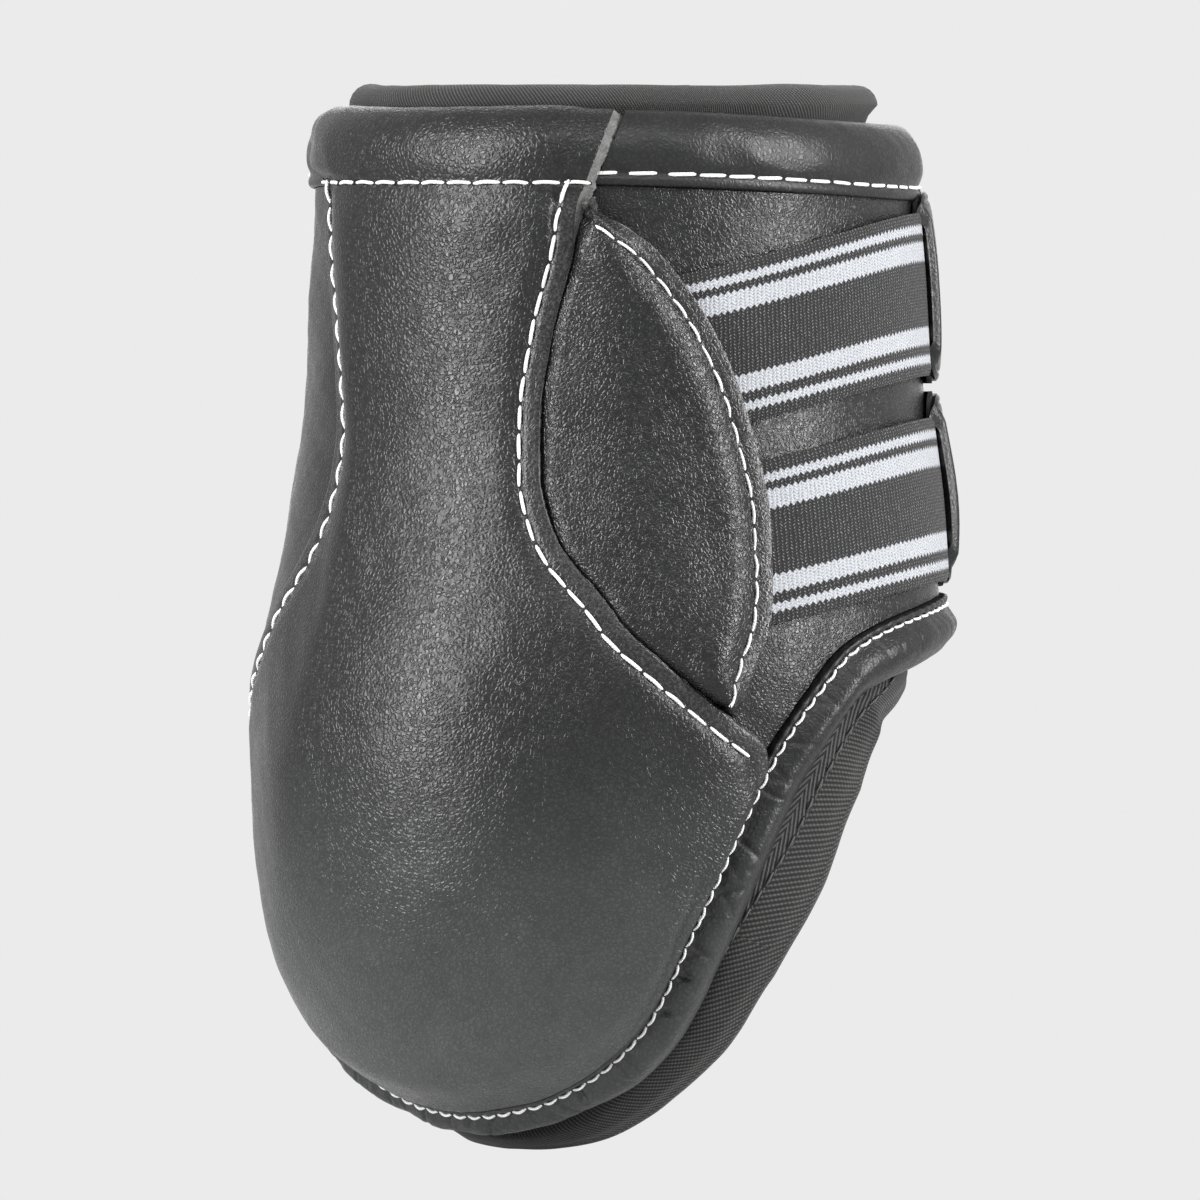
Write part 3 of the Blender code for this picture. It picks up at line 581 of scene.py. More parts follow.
@dataclass(frozen=True)
class Elastic(Finish):
    """Knitted elastic with white stripes along it and ribs across it."""

    width: float = 26.2 * MM
    loop: float = 1.15 * MM
    course: float = 0.52 * MM
    rib: float = 0.77 * MM
    tooth: float = 0.020
    black: Colour = (0.004, 0.004, 0.0045)
    grey: Colour = (0.26, 0.26, 0.265)
    shade: Colour = (0.12, 0.125, 0.14)
    white: Colour = (0.42, 0.435, 0.46)
    stripes: tuple[tuple[float, float], ...] = (
        (0.070, 0.122), (0.172, 0.290), (0.695, 0.805), (0.868, 0.920),
    )

    def dress(self, shop: NodeShop, shader: bpy.types.Node) -> None:
        """Knit the stripes, with toothed borders."""
        along, across = shop.pattern()
        tooth = (along / self.loop).zigzag()
        spot = shop.place()
        jitter = shop.noise(spot, 0.8 * MM, 2.0)
        level = across / self.width + tooth * self.tooth + jitter * 0.014 - (self.tooth / 2 + 0.007)
        white = None
        for low, high in self.stripes:
            inside = level.step(low - 0.003, low + 0.003) * (1 - level.step(high - 0.003, high + 0.003))
            white = inside if white is None else white + inside
        rib = (along / self.rib + jitter * 0.9).zigzag()
        knots = (across / self.course + (along / (2 * self.rib)).zigzag() + jitter * 0.8).zigzag()
        flecks = shop.noise(spot, 0.30 * MM, 3.0, 0.7)
        height = rib * knots * 0.7 + rib * 0.1 + flecks * 0.8
        thread = shop.colour(self.black, self.grey, height.step(0.74, 1.28))
        pale = shop.colour(self.shade, self.white, (height + knots * 0.2).step(0.22, 0.80))
        self.feed(
            shop, shader,
            Base_Color=shop.colour(thread, pale, white),
            Roughness=0.9,
            Normal=shop.bump(height, 0.20 * MM),
            Sheen_Weight=0.1,
            Sheen_Roughness=0.5,
        )


@dataclass(frozen=True)
class Weave(Finish):
    """A fine woven cloth with slanting yarns."""

    yarn: float = 0.64 * MM
    dark: Colour = (0.002, 0.002, 0.002)
    light: Colour = (0.075, 0.073, 0.071)
    slant: float = 0.8
    rise: float = 0.14 * MM

    def dress(self, shop: NodeShop, shader: bpy.types.Node) -> None:
        """Weave the slanting ribs and the yarns that cross them."""
        along, across = shop.pattern()
        rib = ((along + across * self.slant) / self.yarn).zigzag()
        cross = ((across * 1.3 - along) / self.yarn).zigzag()
        spot = shop.place()
        fuzz = shop.noise(spot, 0.25 * MM, 3.0, 0.7)
        wear = shop.noise(spot, 12 * MM, 2.0)
        height = rib * 0.45 + rib * cross * 0.40 + fuzz * 0.45
        self.feed(
            shop, shader,
            Base_Color=shop.colour(self.dark, self.light, (height + wear * 0.15).step(0.45, 1.15)),
            Roughness=0.92,
            Normal=shop.bump(height, self.rise),
            Sheen_Weight=0.12,
            Sheen_Roughness=0.5,
        )


@dataclass(frozen=True)
class Herringbone(Finish):
    """Herringbone tape."""

    row: float = 4.6 * MM
    yarn: float = 1.8 * MM
    slant: float = 3.6
    dark: Colour = (0.007, 0.007, 0.007)
    light: Colour = (0.085, 0.085, 0.085)

    def dress(self, shop: NodeShop, shader: bpy.types.Node) -> None:
        """Lay the slanted ribs, row by row."""
        along, across = shop.pattern()
        rib = (along / self.yarn + (across / self.row).zigzag() * self.slant).zigzag()
        fuzz = shop.noise(shop.place(), 0.3 * MM, 3.0, 0.7)
        height = rib * 0.65 + fuzz * 0.55
        self.feed(
            shop, shader,
            Base_Color=shop.colour(self.dark, self.light, height.step(0.35, 1.0)),
            Roughness=0.9,
            Normal=shop.bump(height, 0.16 * MM),
        )


@dataclass(frozen=True)
class Thread(Finish):
    """Twisted sewing thread."""

    colour: Colour = (0.74, 0.74, 0.73)
    shade: Colour = (0.40, 0.40, 0.41)
    turns: float = 8.0
    gloss: float = 0.55

    def dress(self, shop: NodeShop, shader: bpy.types.Node) -> None:
        """Twist the thread along each stitch."""
        twist = (shop.attribute("thread_run") * self.turns + shop.attribute("thread_turn")).zigzag()
        fuzz = shop.noise(shop.place(), 0.25 * MM, 2.0)
        self.feed(
            shop, shader,
            Base_Color=shop.colour(self.shade, self.colour, (twist + fuzz * 0.6).step(0.05, 0.75)),
            Roughness=self.gloss,
            Normal=shop.bump(twist, 0.05 * MM),
        )


@dataclass(frozen=True)
class Plain(Finish):
    """A plain stuff with a fine grain, such as foam, hook tape or the shadow in a needle hole."""

    dark: Colour = (0.02, 0.02, 0.02)
    light: Colour = (0.05, 0.05, 0.05)
    grain: float = 0.5 * MM
    rise: float = 0.1 * MM
    roughness: float = 0.9

    def dress(self, shop: NodeShop, shader: bpy.types.Node) -> None:
        """Give the stuff its grain."""
        grain = shop.noise(shop.place(), self.grain, 4.0, 0.65)
        self.feed(
            shop, shader,
            Base_Color=shop.colour(self.dark, self.light, grain.step(0.3, 0.7)),
            Roughness=self.roughness,
            Normal=shop.bump(grain, self.rise),
        )


@dataclass(frozen=True)
class PaleFloor(Finish):
    """A plain pale floor that keeps the boot's shadow and fades into the backdrop."""

    backdrop: float = 0.83
    near: float = 0.16
    far: float = 0.60
    veil: float = 0.55

    def dress(self, shop: NodeShop, shader: bpy.types.Node) -> None:
        """Mix the lit floor with the backdrop's own paleness, more of it farther out."""
        spot = shop.place()
        grain = shop.noise(spot, 0.02, 2.0)
        self.feed(shop, shader, Base_Color=shop.colour((0.81,) * 3, (0.83,) * 3, grain), Roughness=0.9)
        away = spot.size().step(self.near, self.far)
        share = (away * (1 - self.veil) + self.veil) * shop.seen()
        glow = shop.tree.nodes.new("ShaderNodeEmission")
        glow.inputs["Color"].default_value = (self.backdrop,) * 3 + (1.0,)
        mix = shop.tree.nodes.new("ShaderNodeMixShader")
        shop.tree.links.new(share.socket, mix.inputs[0])
        shop.tree.links.new(shader.outputs[0], mix.inputs[1])
        shop.tree.links.new(glow.outputs[0], mix.inputs[2])
        output = next(node for node in shop.tree.nodes if node.type == "OUTPUT_MATERIAL")
        shop.tree.links.new(mix.outputs[0], output.inputs["Surface"])


class Wardrobe:
    """All the boot's finishes, each made once."""

    def __init__(self) -> None:
        """Build the materials."""
        # The panel and the hem roll carry a painted light from below on their lowest parts.
        self.panel = Leather("panel_leather", underlight_paint=0.9).build()
        self.wing = Leather("wing_leather", pebble=0.66 * MM, rise=0.062 * MM).build()
        self.leaf = Leather("leaf_leather", pebble=0.68 * MM, rise=0.080 * MM, gloss=0.20).build()
        self.roll = Leather("roll_leather", pebble=0.85 * MM, rise=0.040 * MM, gloss=0.32, underlight_paint=0.5).build()
        self.tab = Leather("tab_leather", pebble=0.85 * MM, rise=0.03 * MM, gloss=0.30).build()
        self.raw = RawEdge("raw_edge").build()
        suede = {"dark": grey(0.010), "light": (0.050, 0.050, 0.049), "amount": 0.5}
        self.suede = RawEdge("suede_back", **suede).build()
        self.elastic = Elastic("striped_elastic").build()
        self.liner = Weave("liner_weave").build()
        self.tape = Herringbone("herringbone_tape").build()
        self.thread = Thread("white_thread").build()
        self.dark_thread = Thread("black_thread", colour=grey(0.05), shade=grey(0.015)).build()
        # Painted shadow: the near-black of the needle holes, laid on flat buttons at each stitch's ends.
        self.hole = Plain("needle_hole_shadow", dark=grey(0.003), light=grey(0.008)).build()
        self.foam = Plain("wall_foam", light=grey(0.08), grain=0.9 * MM).build()
        self.plate = Plain("moulded_plate", light=grey(0.03), rise=0.02 * MM, roughness=0.5).build()
        self.hook = Plain("hook_and_loop", light=grey(0.06), grain=0.7 * MM, rise=0.3 * MM).build()


def skin_normals(grid: Array) -> Array:
    """Return the outward directions of a grid of points, whose columns run round and whose rows run up."""
    return unit(np.cross(np.gradient(grid, axis=1), np.gradient(grid, axis=0)))


def pattern_places(grid: Array) -> Array:
    """Return each point's distances along the rows, evened out over them, and up its column, in metres."""
    across = np.linalg.norm(np.diff(grid, axis=1), axis=-1).mean(axis=0)[None, :].cumsum(axis=1)
    up = np.linalg.norm(np.diff(grid, axis=0), axis=-1).cumsum(axis=0)
    across = np.broadcast_to(np.pad(across, ((0, 0), (1, 0))), grid.shape[:2])
    return np.stack([across, np.pad(up, ((1, 0), (0, 0)))], axis=-1)


@dataclass
class Solid:
    """A closed mesh under way: points with pattern places and margins, and faces with finishes."""

    name: str
    finishes: Sequence[bpy.types.Material]
    points: list[Array] = field(default_factory=list)
    places: list[Array] = field(default_factory=list)
    margins: list[Array] = field(default_factory=list)
    faces: list[tuple[int, ...]] = field(default_factory=list)
    marks: list[int] = field(default_factory=list)
    count: int = 0
    girth: float = 0.0

    def add_points(self, points: Array, places: Array, margins: Array | float = 0.0) -> Array:
        """Add points and return their numbers, in the shape they came in."""
        numbers = np.arange(self.count, self.count + points[..., 0].size).reshape(points.shape[:-1])
        self.points.append(points.reshape(-1, 3))
        self.places.append(places.reshape(-1, 2))
        self.margins.append(np.broadcast_to(margins, points.shape[:-1]).ravel())
        self.count += numbers.size
        return numbers

    def add_quads(self, numbers: Array, marks: Array | int, wrap: bool = False) -> None:
        """Add the quads between rows and columns of numbered points.

        Args:
            numbers: The points' numbers.
            marks: The finish's number, for all the quads or for each column of them.
            wrap: Whether the last column joins the first.
        """
        if wrap:
            numbers = np.concatenate([numbers, numbers[:, :1]], axis=1)
        quads = np.stack([numbers[:-1, :-1], numbers[:-1, 1:], numbers[1:, 1:], numbers[1:, :-1]], axis=-1)
        self.faces += [tuple(quad) for quad in quads.reshape(-1, 4).tolist()]
        self.marks += np.broadcast_to(marks, quads.shape[:2]).ravel().tolist()

    def build(self, sharp: float = 50.0) -> bpy.types.Object:
        """Return the object with its faces pointing out, smooth but for edges sharper than an angle."""
        mesh = bpy.data.meshes.new(self.name)
        mesh.from_pydata(np.concatenate(self.points).tolist(), [], self.faces)
        mesh.polygons.foreach_set("material_index", np.array(self.marks, np.int32))
        for finish in self.finishes:
            mesh.materials.append(finish)
        made = bmesh.new()
        made.from_mesh(mesh)
        bmesh.ops.recalc_face_normals(made, faces=made.faces)
        made.to_mesh(mesh)
        made.free()
        layer = mesh.uv_layers.new(name="Pattern")
        places = np.concatenate(self.places)[corner_points(mesh)]
        layer.data.foreach_set("uv", self.joined(mesh, places).ravel())
        margin = mesh.attributes.new("margin", "FLOAT", "POINT")
        margin.data.foreach_set("value", np.concatenate(self.margins).astype(np.float32))
        mesh.shade_smooth()
        mesh.set_sharp_from_angle(angle=math.radians(sharp))
        return placed(self.name, mesh)

    def joined(self, mesh: bpy.types.Mesh, places: Array) -> Array:
        """Return the corners' pattern places, carried on past the girth in the faces that close a tube."""
        starts = np.zeros(len(mesh.polygons), np.int32)
        mesh.polygons.foreach_get("loop_start", starts)
        highest = np.maximum.reduceat(places[:, 1], starts)
        sizes = np.diff(np.append(starts, len(places)))
        behind = (np.repeat(highest, sizes) - places[:, 1] > self.girth / 2) & (np.repeat(sizes, sizes) == 4)
        if self.girth:
            places[:, 1] += behind * self.girth
        return places.astype(np.float32)


def border_of(numbers: Array) -> Array:
    """Return the numbers round the border of a grid, in order."""
    return np.concatenate([numbers[0, :-1], numbers[:-1, -1], numbers[-1, :0:-1], numbers[:0:-1, 0]])


@dataclass
class Sheet:
    """A closed sheet under a grid of points, rows up and columns round, with a cut edge."""

    name: str
    outer: Array
    thickness: Array | float
    finishes: Sequence[bpy.types.Material]
    side_slant: Array | float = 0.0
    end_slant: float = 0.0
    margins: Array | float = 0.0
    ragged: float = 0.0

    def build(self, sharp: float = 50.0) -> bpy.types.Object:
        """Return the sheet's object.

        Args:
            sharp: The angle past which an edge stays crisp.

        Returns:
            The sheet, whose cut edge slants out by the side and end slants.
        """
        solid = Solid(self.name, self.finishes)
        outer = self.outer
        depth = np.broadcast_to(np.asarray(self.thickness, float), outer.shape[:2])[..., None]
        inner = outer - skin_normals(outer) * depth
        slant = np.broadcast_to(np.asarray(self.side_slant, float).reshape(-1, 1), (outer.shape[0], 1))
        rough = Unevenness(0.9 * MM, self.ragged, 11).at(outer)
        inner[:, 0] += unit(outer[:, 0] - outer[:, 1]) * (slant + rough[:, :1])
        inner[:, -1] += unit(outer[:, -1] - outer[:, -2]) * (slant + rough[:, -1:])
        inner[0] += unit(outer[0] - outer[1]) * self.end_slant
        inner[-1] += unit(outer[-1] - outer[-2]) * self.end_slant
        places = pattern_places(outer)
        top = solid.add_points(outer, places, self.margins)
        under = solid.add_points(inner, places)
        solid.add_quads(top, 0)
        solid.add_quads(under[:, ::-1], 2)
        ring, low = border_of(top), border_of(under)
        sides = [
            solid.add_points(mixed(outer.reshape(-1, 3)[ring], inner.reshape(-1, 3)[ring], share)
                             + self.fringe(outer, ring, share), places.reshape(-1, 2)[ring])
            for share in (0.33, 0.66)
        ]
        solid.add_quads(np.stack([ring, *sides, low])[:, ::-1], 1, wrap=True)
        return solid.build(sharp)

    def fringe(self, outer: Array, ring: Array, share: float) -> Array:
        """Return small moves that roughen the cut edge at a share of its depth."""
        points = outer.reshape(-1, 3)[ring]
        rough = Unevenness(0.55 * MM, self.ragged, 23 + int(share * 10)).at(points)
        return skin_normals(outer).reshape(-1, 3)[ring] * rough[:, None] * 0.6


@dataclass
class Tube:
    """A closed tube through rings of points, a ring in each row."""

    name: str
    rings: Array
    finishes: Sequence[bpy.types.Material]
    marks: Array | int = 0
    margins: Array | float = 0.0

    def build(self, sharp: float = 60.0) -> bpy.types.Object:
        """Return the tube's object, smooth but for edges sharper than an angle."""
        looped = np.concatenate([self.rings, self.rings[:, :1]], axis=1)
        around = np.linalg.norm(np.diff(looped, axis=1), axis=-1).mean(axis=0).cumsum()
        along = run_lengths(self.rings.mean(axis=1))[:, None]
        solid = Solid(self.name, self.finishes, girth=float(around[-1]))
        places = np.stack(np.broadcast_arrays(along, np.concatenate([[0.0], around[:-1]])[None]), axis=-1)
        margins = np.broadcast_to(self.margins, self.rings.shape[:2])
        numbers = solid.add_points(self.rings, places, margins)
        solid.add_quads(numbers, self.marks, wrap=True)
        solid.faces += [tuple(numbers[0].tolist()), tuple(numbers[-1, ::-1].tolist())]
        solid.marks += [0, 0]
        return solid.build(sharp)


def softened(outline: Sequence[tuple[float, float]], rounds: int = 2) -> Array:
    """Return a closed outline, given in millimetres, with its corners cut again and again."""
    points = np.array(outline, float) * MM
    for _ in range(rounds):
        after = np.roll(points, -1, axis=0)
        points = np.stack([points * 0.75 + after * 0.25, points * 0.25 + after * 0.75], axis=1).reshape(-1, 2)
    return points


def outline_normals(outline: Array) -> Array:
    """Return the outward directions of a closed outline of (depth, reach) pairs."""
    run = np.roll(outline, -1, axis=0) - np.roll(outline, 1, axis=0)
    turned = unit(np.stack([run[:, 1], -run[:, 0]], axis=-1))
    area = np.sum(outline[:, 0] * np.roll(outline[:, 1], -1) - outline[:, 1] * np.roll(outline[:, 0], -1))
    return turned if area > 0 else -turned


@dataclass
class Path:
    """A line along a surface, with the surface's outward direction at each point."""

    points: Array
    outs: Array

    def shifted(self, distance: float) -> "Path":
        """Return the path moved sideways along the surface, to its left as seen from outside."""
        run = unit(np.gradient(self.points, axis=0))
        return Path(self.points + np.cross(self.outs, run) * distance, self.outs)

    def even(self, step: float) -> "Path":
        """Return the path with its points a step apart, without kinks."""
        lengths = run_lengths(self.points)
        count = max(int(lengths[-1] / step), 2)
        stops = np.linspace(0.0, lengths[-1], count + 1)

        def spread(values: Array) -> Array:
            """Return values at the stops."""
            return np.stack([np.interp(stops, lengths, values[:, k]) for k in range(3)], axis=-1)

        return Path(spread(self.points), unit(spread(self.outs)))

    def cut(self, keep: Array) -> "Path":
        """Return the part of the path where keep is true."""
        return Path(self.points[keep], self.outs[keep])

    def lying_on(self, piece: bpy.types.Object, reach: float = 6 * MM) -> "Path":
        """Return the path dropped straight onto a piece."""
        mesh = piece.data
        tree = BVHTree.FromPolygons([v.co for v in mesh.vertices], [tuple(p.vertices) for p in mesh.polygons])
        points, outs = [], []
        for point, out in zip(self.points, self.outs):
            spot, normal, _, _ = tree.ray_cast(Vector(point + out * reach), Vector(-out), reach * 2)
            if spot is not None:
                points.append(spot)
                outs.append(normal if normal.dot(Vector(out)) > 0.5 else Vector(out))
        smooth = np.array(outs)
        for _ in range(3):
            smooth[1:-1] = unit(smooth[:-2] + smooth[1:-1] * 2 + smooth[2:])
        return Path(np.array(points), smooth)


@dataclass(frozen=True)
class Stitch:
    """A kind of stitch."""

    pitch: float = 4.6 * MM
    length: float = 3.8 * MM
    thickness: float = 0.62 * MM
    rise: float = 0.30 * MM
    sink: float = 0.22 * MM
    bow: float = 0.0
    hole: float = 0.42 * MM

    def spacing(self, path: Path) -> float:
        """Return the distance between stitches that fits whole stitches on a path."""
        total = run_lengths(path.points)[-1]
        return total / max(int(total / self.pitch), 1)


class Seamstress:
    """Sews rows of stitches with one Geometry Nodes tree."""

    SIZES = ("Length", "Thickness", "Rise", "Sink", "Bow", "Hole")

    def __init__(self, wardrobe: Wardrobe) -> None:
        """Build the tree, whose inputs are a stitch's sizes and threads."""
        self.wardrobe = wardrobe
        self.tree = bpy.data.node_groups.new("sewn_row", "GeometryNodeTree")
        self.shop = NodeShop(self.tree)
        sizes = dict.fromkeys(("Pitch", *self.SIZES), "Float")
        kinds = {"Geometry": "Geometry", **sizes, "Seed": "Int", "Thread": "Material", "Shadow": "Material"}
        for name, kind in kinds.items():
            self.tree.interface.new_socket(name, in_out="INPUT", socket_type=f"NodeSocket{kind}")
        self.tree.interface.new_socket("Geometry", in_out="OUTPUT", socket_type="NodeSocketGeometry")
        self.ports = self.tree.nodes.new("NodeGroupInput")
        self._wire()

    def port(self, name: str) -> Field:
        """Return one of the tree's inputs."""
        return Field(self.shop, self.ports.outputs[name])

    def vector(self, x: Any, y: Any, z: Any) -> Field:
        """Return a vector of three values."""
        return self.shop.node("ShaderNodeCombineXYZ", {}, {0: x, 1: y, 2: z})

    def chance(self, low: float, high: float) -> Field:
        """Return a random value from low to high for each stitch."""
        values = {2: low, 3: high, "Seed": self.port("Seed")}
        return self.shop.node("FunctionNodeRandomValue", {"data_type": "FLOAT"}, values, 1)

    def _thread(self) -> Field:
        """Return one arched, tapered stitch along X."""
        node, port = self.shop.node, self.port
        half, sink = port("Length") * 0.5, port("Sink") * -1.0
        ends = {
            "Resolution": 6, "Start": self.vector(half * -1.0, 0.0, sink),
            "Middle": self.vector(0.0, port("Bow"), port("Rise") * 2.0 + port("Sink")),
            "End": self.vector(half, 0.0, sink),
        }
        line = node("GeometryNodeCurveQuadraticBezier", {}, ends)
        run = node("GeometryNodeSplineParameter", {}, {}, "Factor")
        kept = {"data_type": "FLOAT", "domain": "POINT"}
        values = {"Geometry": line, "Name": "thread_run", "Value": run}
        line = node("GeometryNodeStoreNamedAttribute", kept, values)
        taper = (run * (1 - run) * 4.0 + 0.12) ** 0.30
        line = node("GeometryNodeSetCurveRadius", {}, {"Curve": line, "Radius": taper})
        values = {"Resolution": 7, "Radius": port("Thickness") * 0.5}
        round_ = node("GeometryNodeCurvePrimitiveCircle", {}, values)
        turn = node("GeometryNodeSplineParameter", {}, {}, "Factor")
        values = {"Geometry": round_, "Name": "thread_turn", "Value": turn}
        round_ = node("GeometryNodeStoreNamedAttribute", kept, values)
        values = {"Curve": line, "Profile Curve": round_, "Fill Caps": True}
        body = node("GeometryNodeCurveToMesh", {}, values)
        return node("GeometryNodeSetShadeSmooth", {}, {"Geometry": body, "Shade Smooth": True})

    def _holes(self) -> Field:
        """Return the two needle holes at a stitch's ends, as flat dark buttons that carry the holes' painted
        shadow.
        """
        node, port = self.shop.node, self.port
        values = {"Vertices": 7, "Side Segments": 1, "Fill Segments": 1, "Radius": port("Hole"),
                  "Depth": port("Sink") * 0.5}
        button = node("GeometryNodeMeshCylinder", {}, values)
        join = self.shop.tree.nodes.new("GeometryNodeJoinGeometry")
        for side in (-1.0, 1.0):
            place = self.vector(port("Length") * (0.5 * side), 0.0, port("Sink") * -0.12)
            moved = node("GeometryNodeTransform", {}, {"Geometry": button, "Translation": place})
            self.shop.tree.links.new(moved.socket, join.inputs[0])
        return Field(self.shop, join.outputs[0])

    def _wire(self) -> None:
        """Lay the stitches along the path."""
        node, port = self.shop.node, self.port
        curve = node("GeometryNodeMeshToCurve", {}, {"Mesh": port("Geometry")})
        spots = self.tree.nodes.new("GeometryNodeCurveToPoints")
        spots.mode = "LENGTH"
        self.tree.links.new(curve.socket, spots.inputs["Curve"])
        self.tree.links.new(port("Pitch").socket, spots.inputs["Length"])
        points, tangent = (Field(self.shop, spots.outputs[name]) for name in ("Points", "Tangent"))
        out = node("GeometryNodeInputNamedAttribute", {"data_type": "FLOAT_VECTOR"}, {"Name": "out"})
        turned = node("FunctionNodeAlignRotationToVector", {"axis": "X"}, {"Vector": tangent})
        settings = {"axis": "Z", "pivot_axis": "X"}
        turned = node("FunctionNodeAlignRotationToVector", settings, {"Rotation": turned, "Vector": out})
        swing = self.chance(-0.05, 0.05)
        euler = node("FunctionNodeEulerToRotation", {}, {0: self.vector(0.0, 0.0, swing)})
        settings = {"rotation_space": "LOCAL"}
        turned = node("FunctionNodeRotateRotation", settings, {"Rotation": turned, "Rotate By": euler})
        size = self.chance(0.93, 1.05)
        join = self.tree.nodes.new("GeometryNodeJoinGeometry")
        for shape, look in ((self._thread(), "Thread"), (self._holes(), "Shadow")):
            values = {"Points": points, "Instance": shape, "Rotation": turned, "Scale": size}
            laid = node("GeometryNodeInstanceOnPoints", {}, values)
            real = node("GeometryNodeRealizeInstances", {}, {"Geometry": laid})
            dressed = node("GeometryNodeSetMaterial", {}, {"Geometry": real, "Material": port(look)})
            self.tree.links.new(dressed.socket, join.inputs[0])
        end = self.tree.nodes.new("NodeGroupOutput")
        self.tree.links.new(join.outputs[0], end.inputs[0])

    def sew(self, name: str, rows: Sequence[tuple[Path, Stitch]], dark: bool = False) -> bpy.types.Object:
        """Sew rows of stitches and return them as one plain mesh.

        Args:
            name: The piece's name.
            rows: Each row's path and kind of stitch.
            dark: Whether the thread is black.

        Returns:
            The stitches' object.
        """
        thread = self.wardrobe.dark_thread if dark else self.wardrobe.thread
        merged = bmesh.new()
        for seed, (path, stitch) in enumerate(rows):
            mesh = bpy.data.meshes.new(f"{name}_path")
            edges = [(k, k + 1) for k in range(len(path.points) - 1)]
            mesh.from_pydata(path.points.tolist(), edges, [])
            out = mesh.attributes.new("out", "FLOAT_VECTOR", "POINT")
            out.data.foreach_set("vector", path.outs.astype(np.float32).ravel())
            guide = placed(f"{name}_path", mesh)
            added = guide.modifiers.new("sewing", "NODES")
            added.node_group = self.tree
            values = {name: getattr(stitch, name.lower()) for name in self.SIZES}
            values |= {"Pitch": stitch.spacing(path) * 0.9999, "Seed": seed}
            values |= {"Thread": thread, "Shadow": self.wardrobe.hole}
            for item in self.tree.interface.items_tree:
                if item.in_out == "INPUT" and item.name in values:
                    added[item.identifier] = values[item.name]
            sight = guide.evaluated_get(bpy.context.evaluated_depsgraph_get())
            sewn = bpy.data.meshes.new_from_object(sight)
            marks = np.zeros(len(sewn.polygons), np.int32)
            sewn.polygons.foreach_get("material_index", marks)
            hole = self.wardrobe.hole.name
            shadows = np.array([look is None or look.name == hole for look in sewn.materials])
            sewn.polygons.foreach_set("material_index", shadows[marks].astype(np.int32))
            merged.from_mesh(sewn)
            bpy.data.objects.remove(guide, do_unlink=True)
            bpy.data.meshes.remove(sewn)
        mesh = bpy.data.meshes.new(name)
        merged.to_mesh(mesh)
        merged.free()
        for finish in (thread, self.wardrobe.hole):
            mesh.materials.append(finish)
        return placed(name, mesh)


@dataclass
class Workshop:
    """What every sub-assembly needs: the finishes, the seamstress and the ways to mount a piece."""

    wardrobe: Wardrobe
    seamstress: Seamstress

    def mount(
        self, piece: bpy.types.Object, slot: Slot | None, body: Body, *nodes: str, fill: float | None = None,
        band: tuple[Body, float, float] | None = None,
    ) -> None:
        """Attach a finished piece to the body that it rides on, or bake it in place where a band is given,
        and hide the nodes that it stands for.

        Args:
            piece: The piece.
            slot: Not used.
            body: The body that it rides on.
            nodes: The CAD nodes that it replaces.
            fill: Not used.
            band: The next body and two angles; a piece with a band is baked in place instead of attached.
        """
        if band is None:
            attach(piece, body.value)
        else:
            after, start, end = band
            WALL.crossing(start)
            WALL.crossing(end)
            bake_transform(piece)
        if nodes:
            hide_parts(*nodes)
        LOG.info("%s: %d faces on %s", piece.name, len(piece.data.polygons), body.value)

    def sew(
        self, name: str, rows: Sequence[tuple[Path, Stitch]], band: tuple[Body, float, float] | None = None,
        dark: bool = False,
    ) -> None:
        """Sew rows of stitches and mount them on the shell, or bake them in place where a band is given."""
        self.mount(self.seamstress.sew(name, rows, dark), None, Body.SHELL, band=band)


WING_BAND = (Body.WING, 62.0, 68.0)


LEATHER_BODY = 1.25 * MM
WING_BODY = 1.1 * MM
GROOVE_WIDTH = 0.6 * MM
EDGE_WIDTH = 0.25 * MM
MARGIN_LEAD = 0.9 * MM
MARGIN_FADE = 0.8 * MM


def beside(away: Array, inset: float) -> Array:
    """Return 1 in the margin between an edge and its stitches, and 0 past them."""
    return 1 - eased((away - inset + MARGIN_LEAD) / MARGIN_FADE)


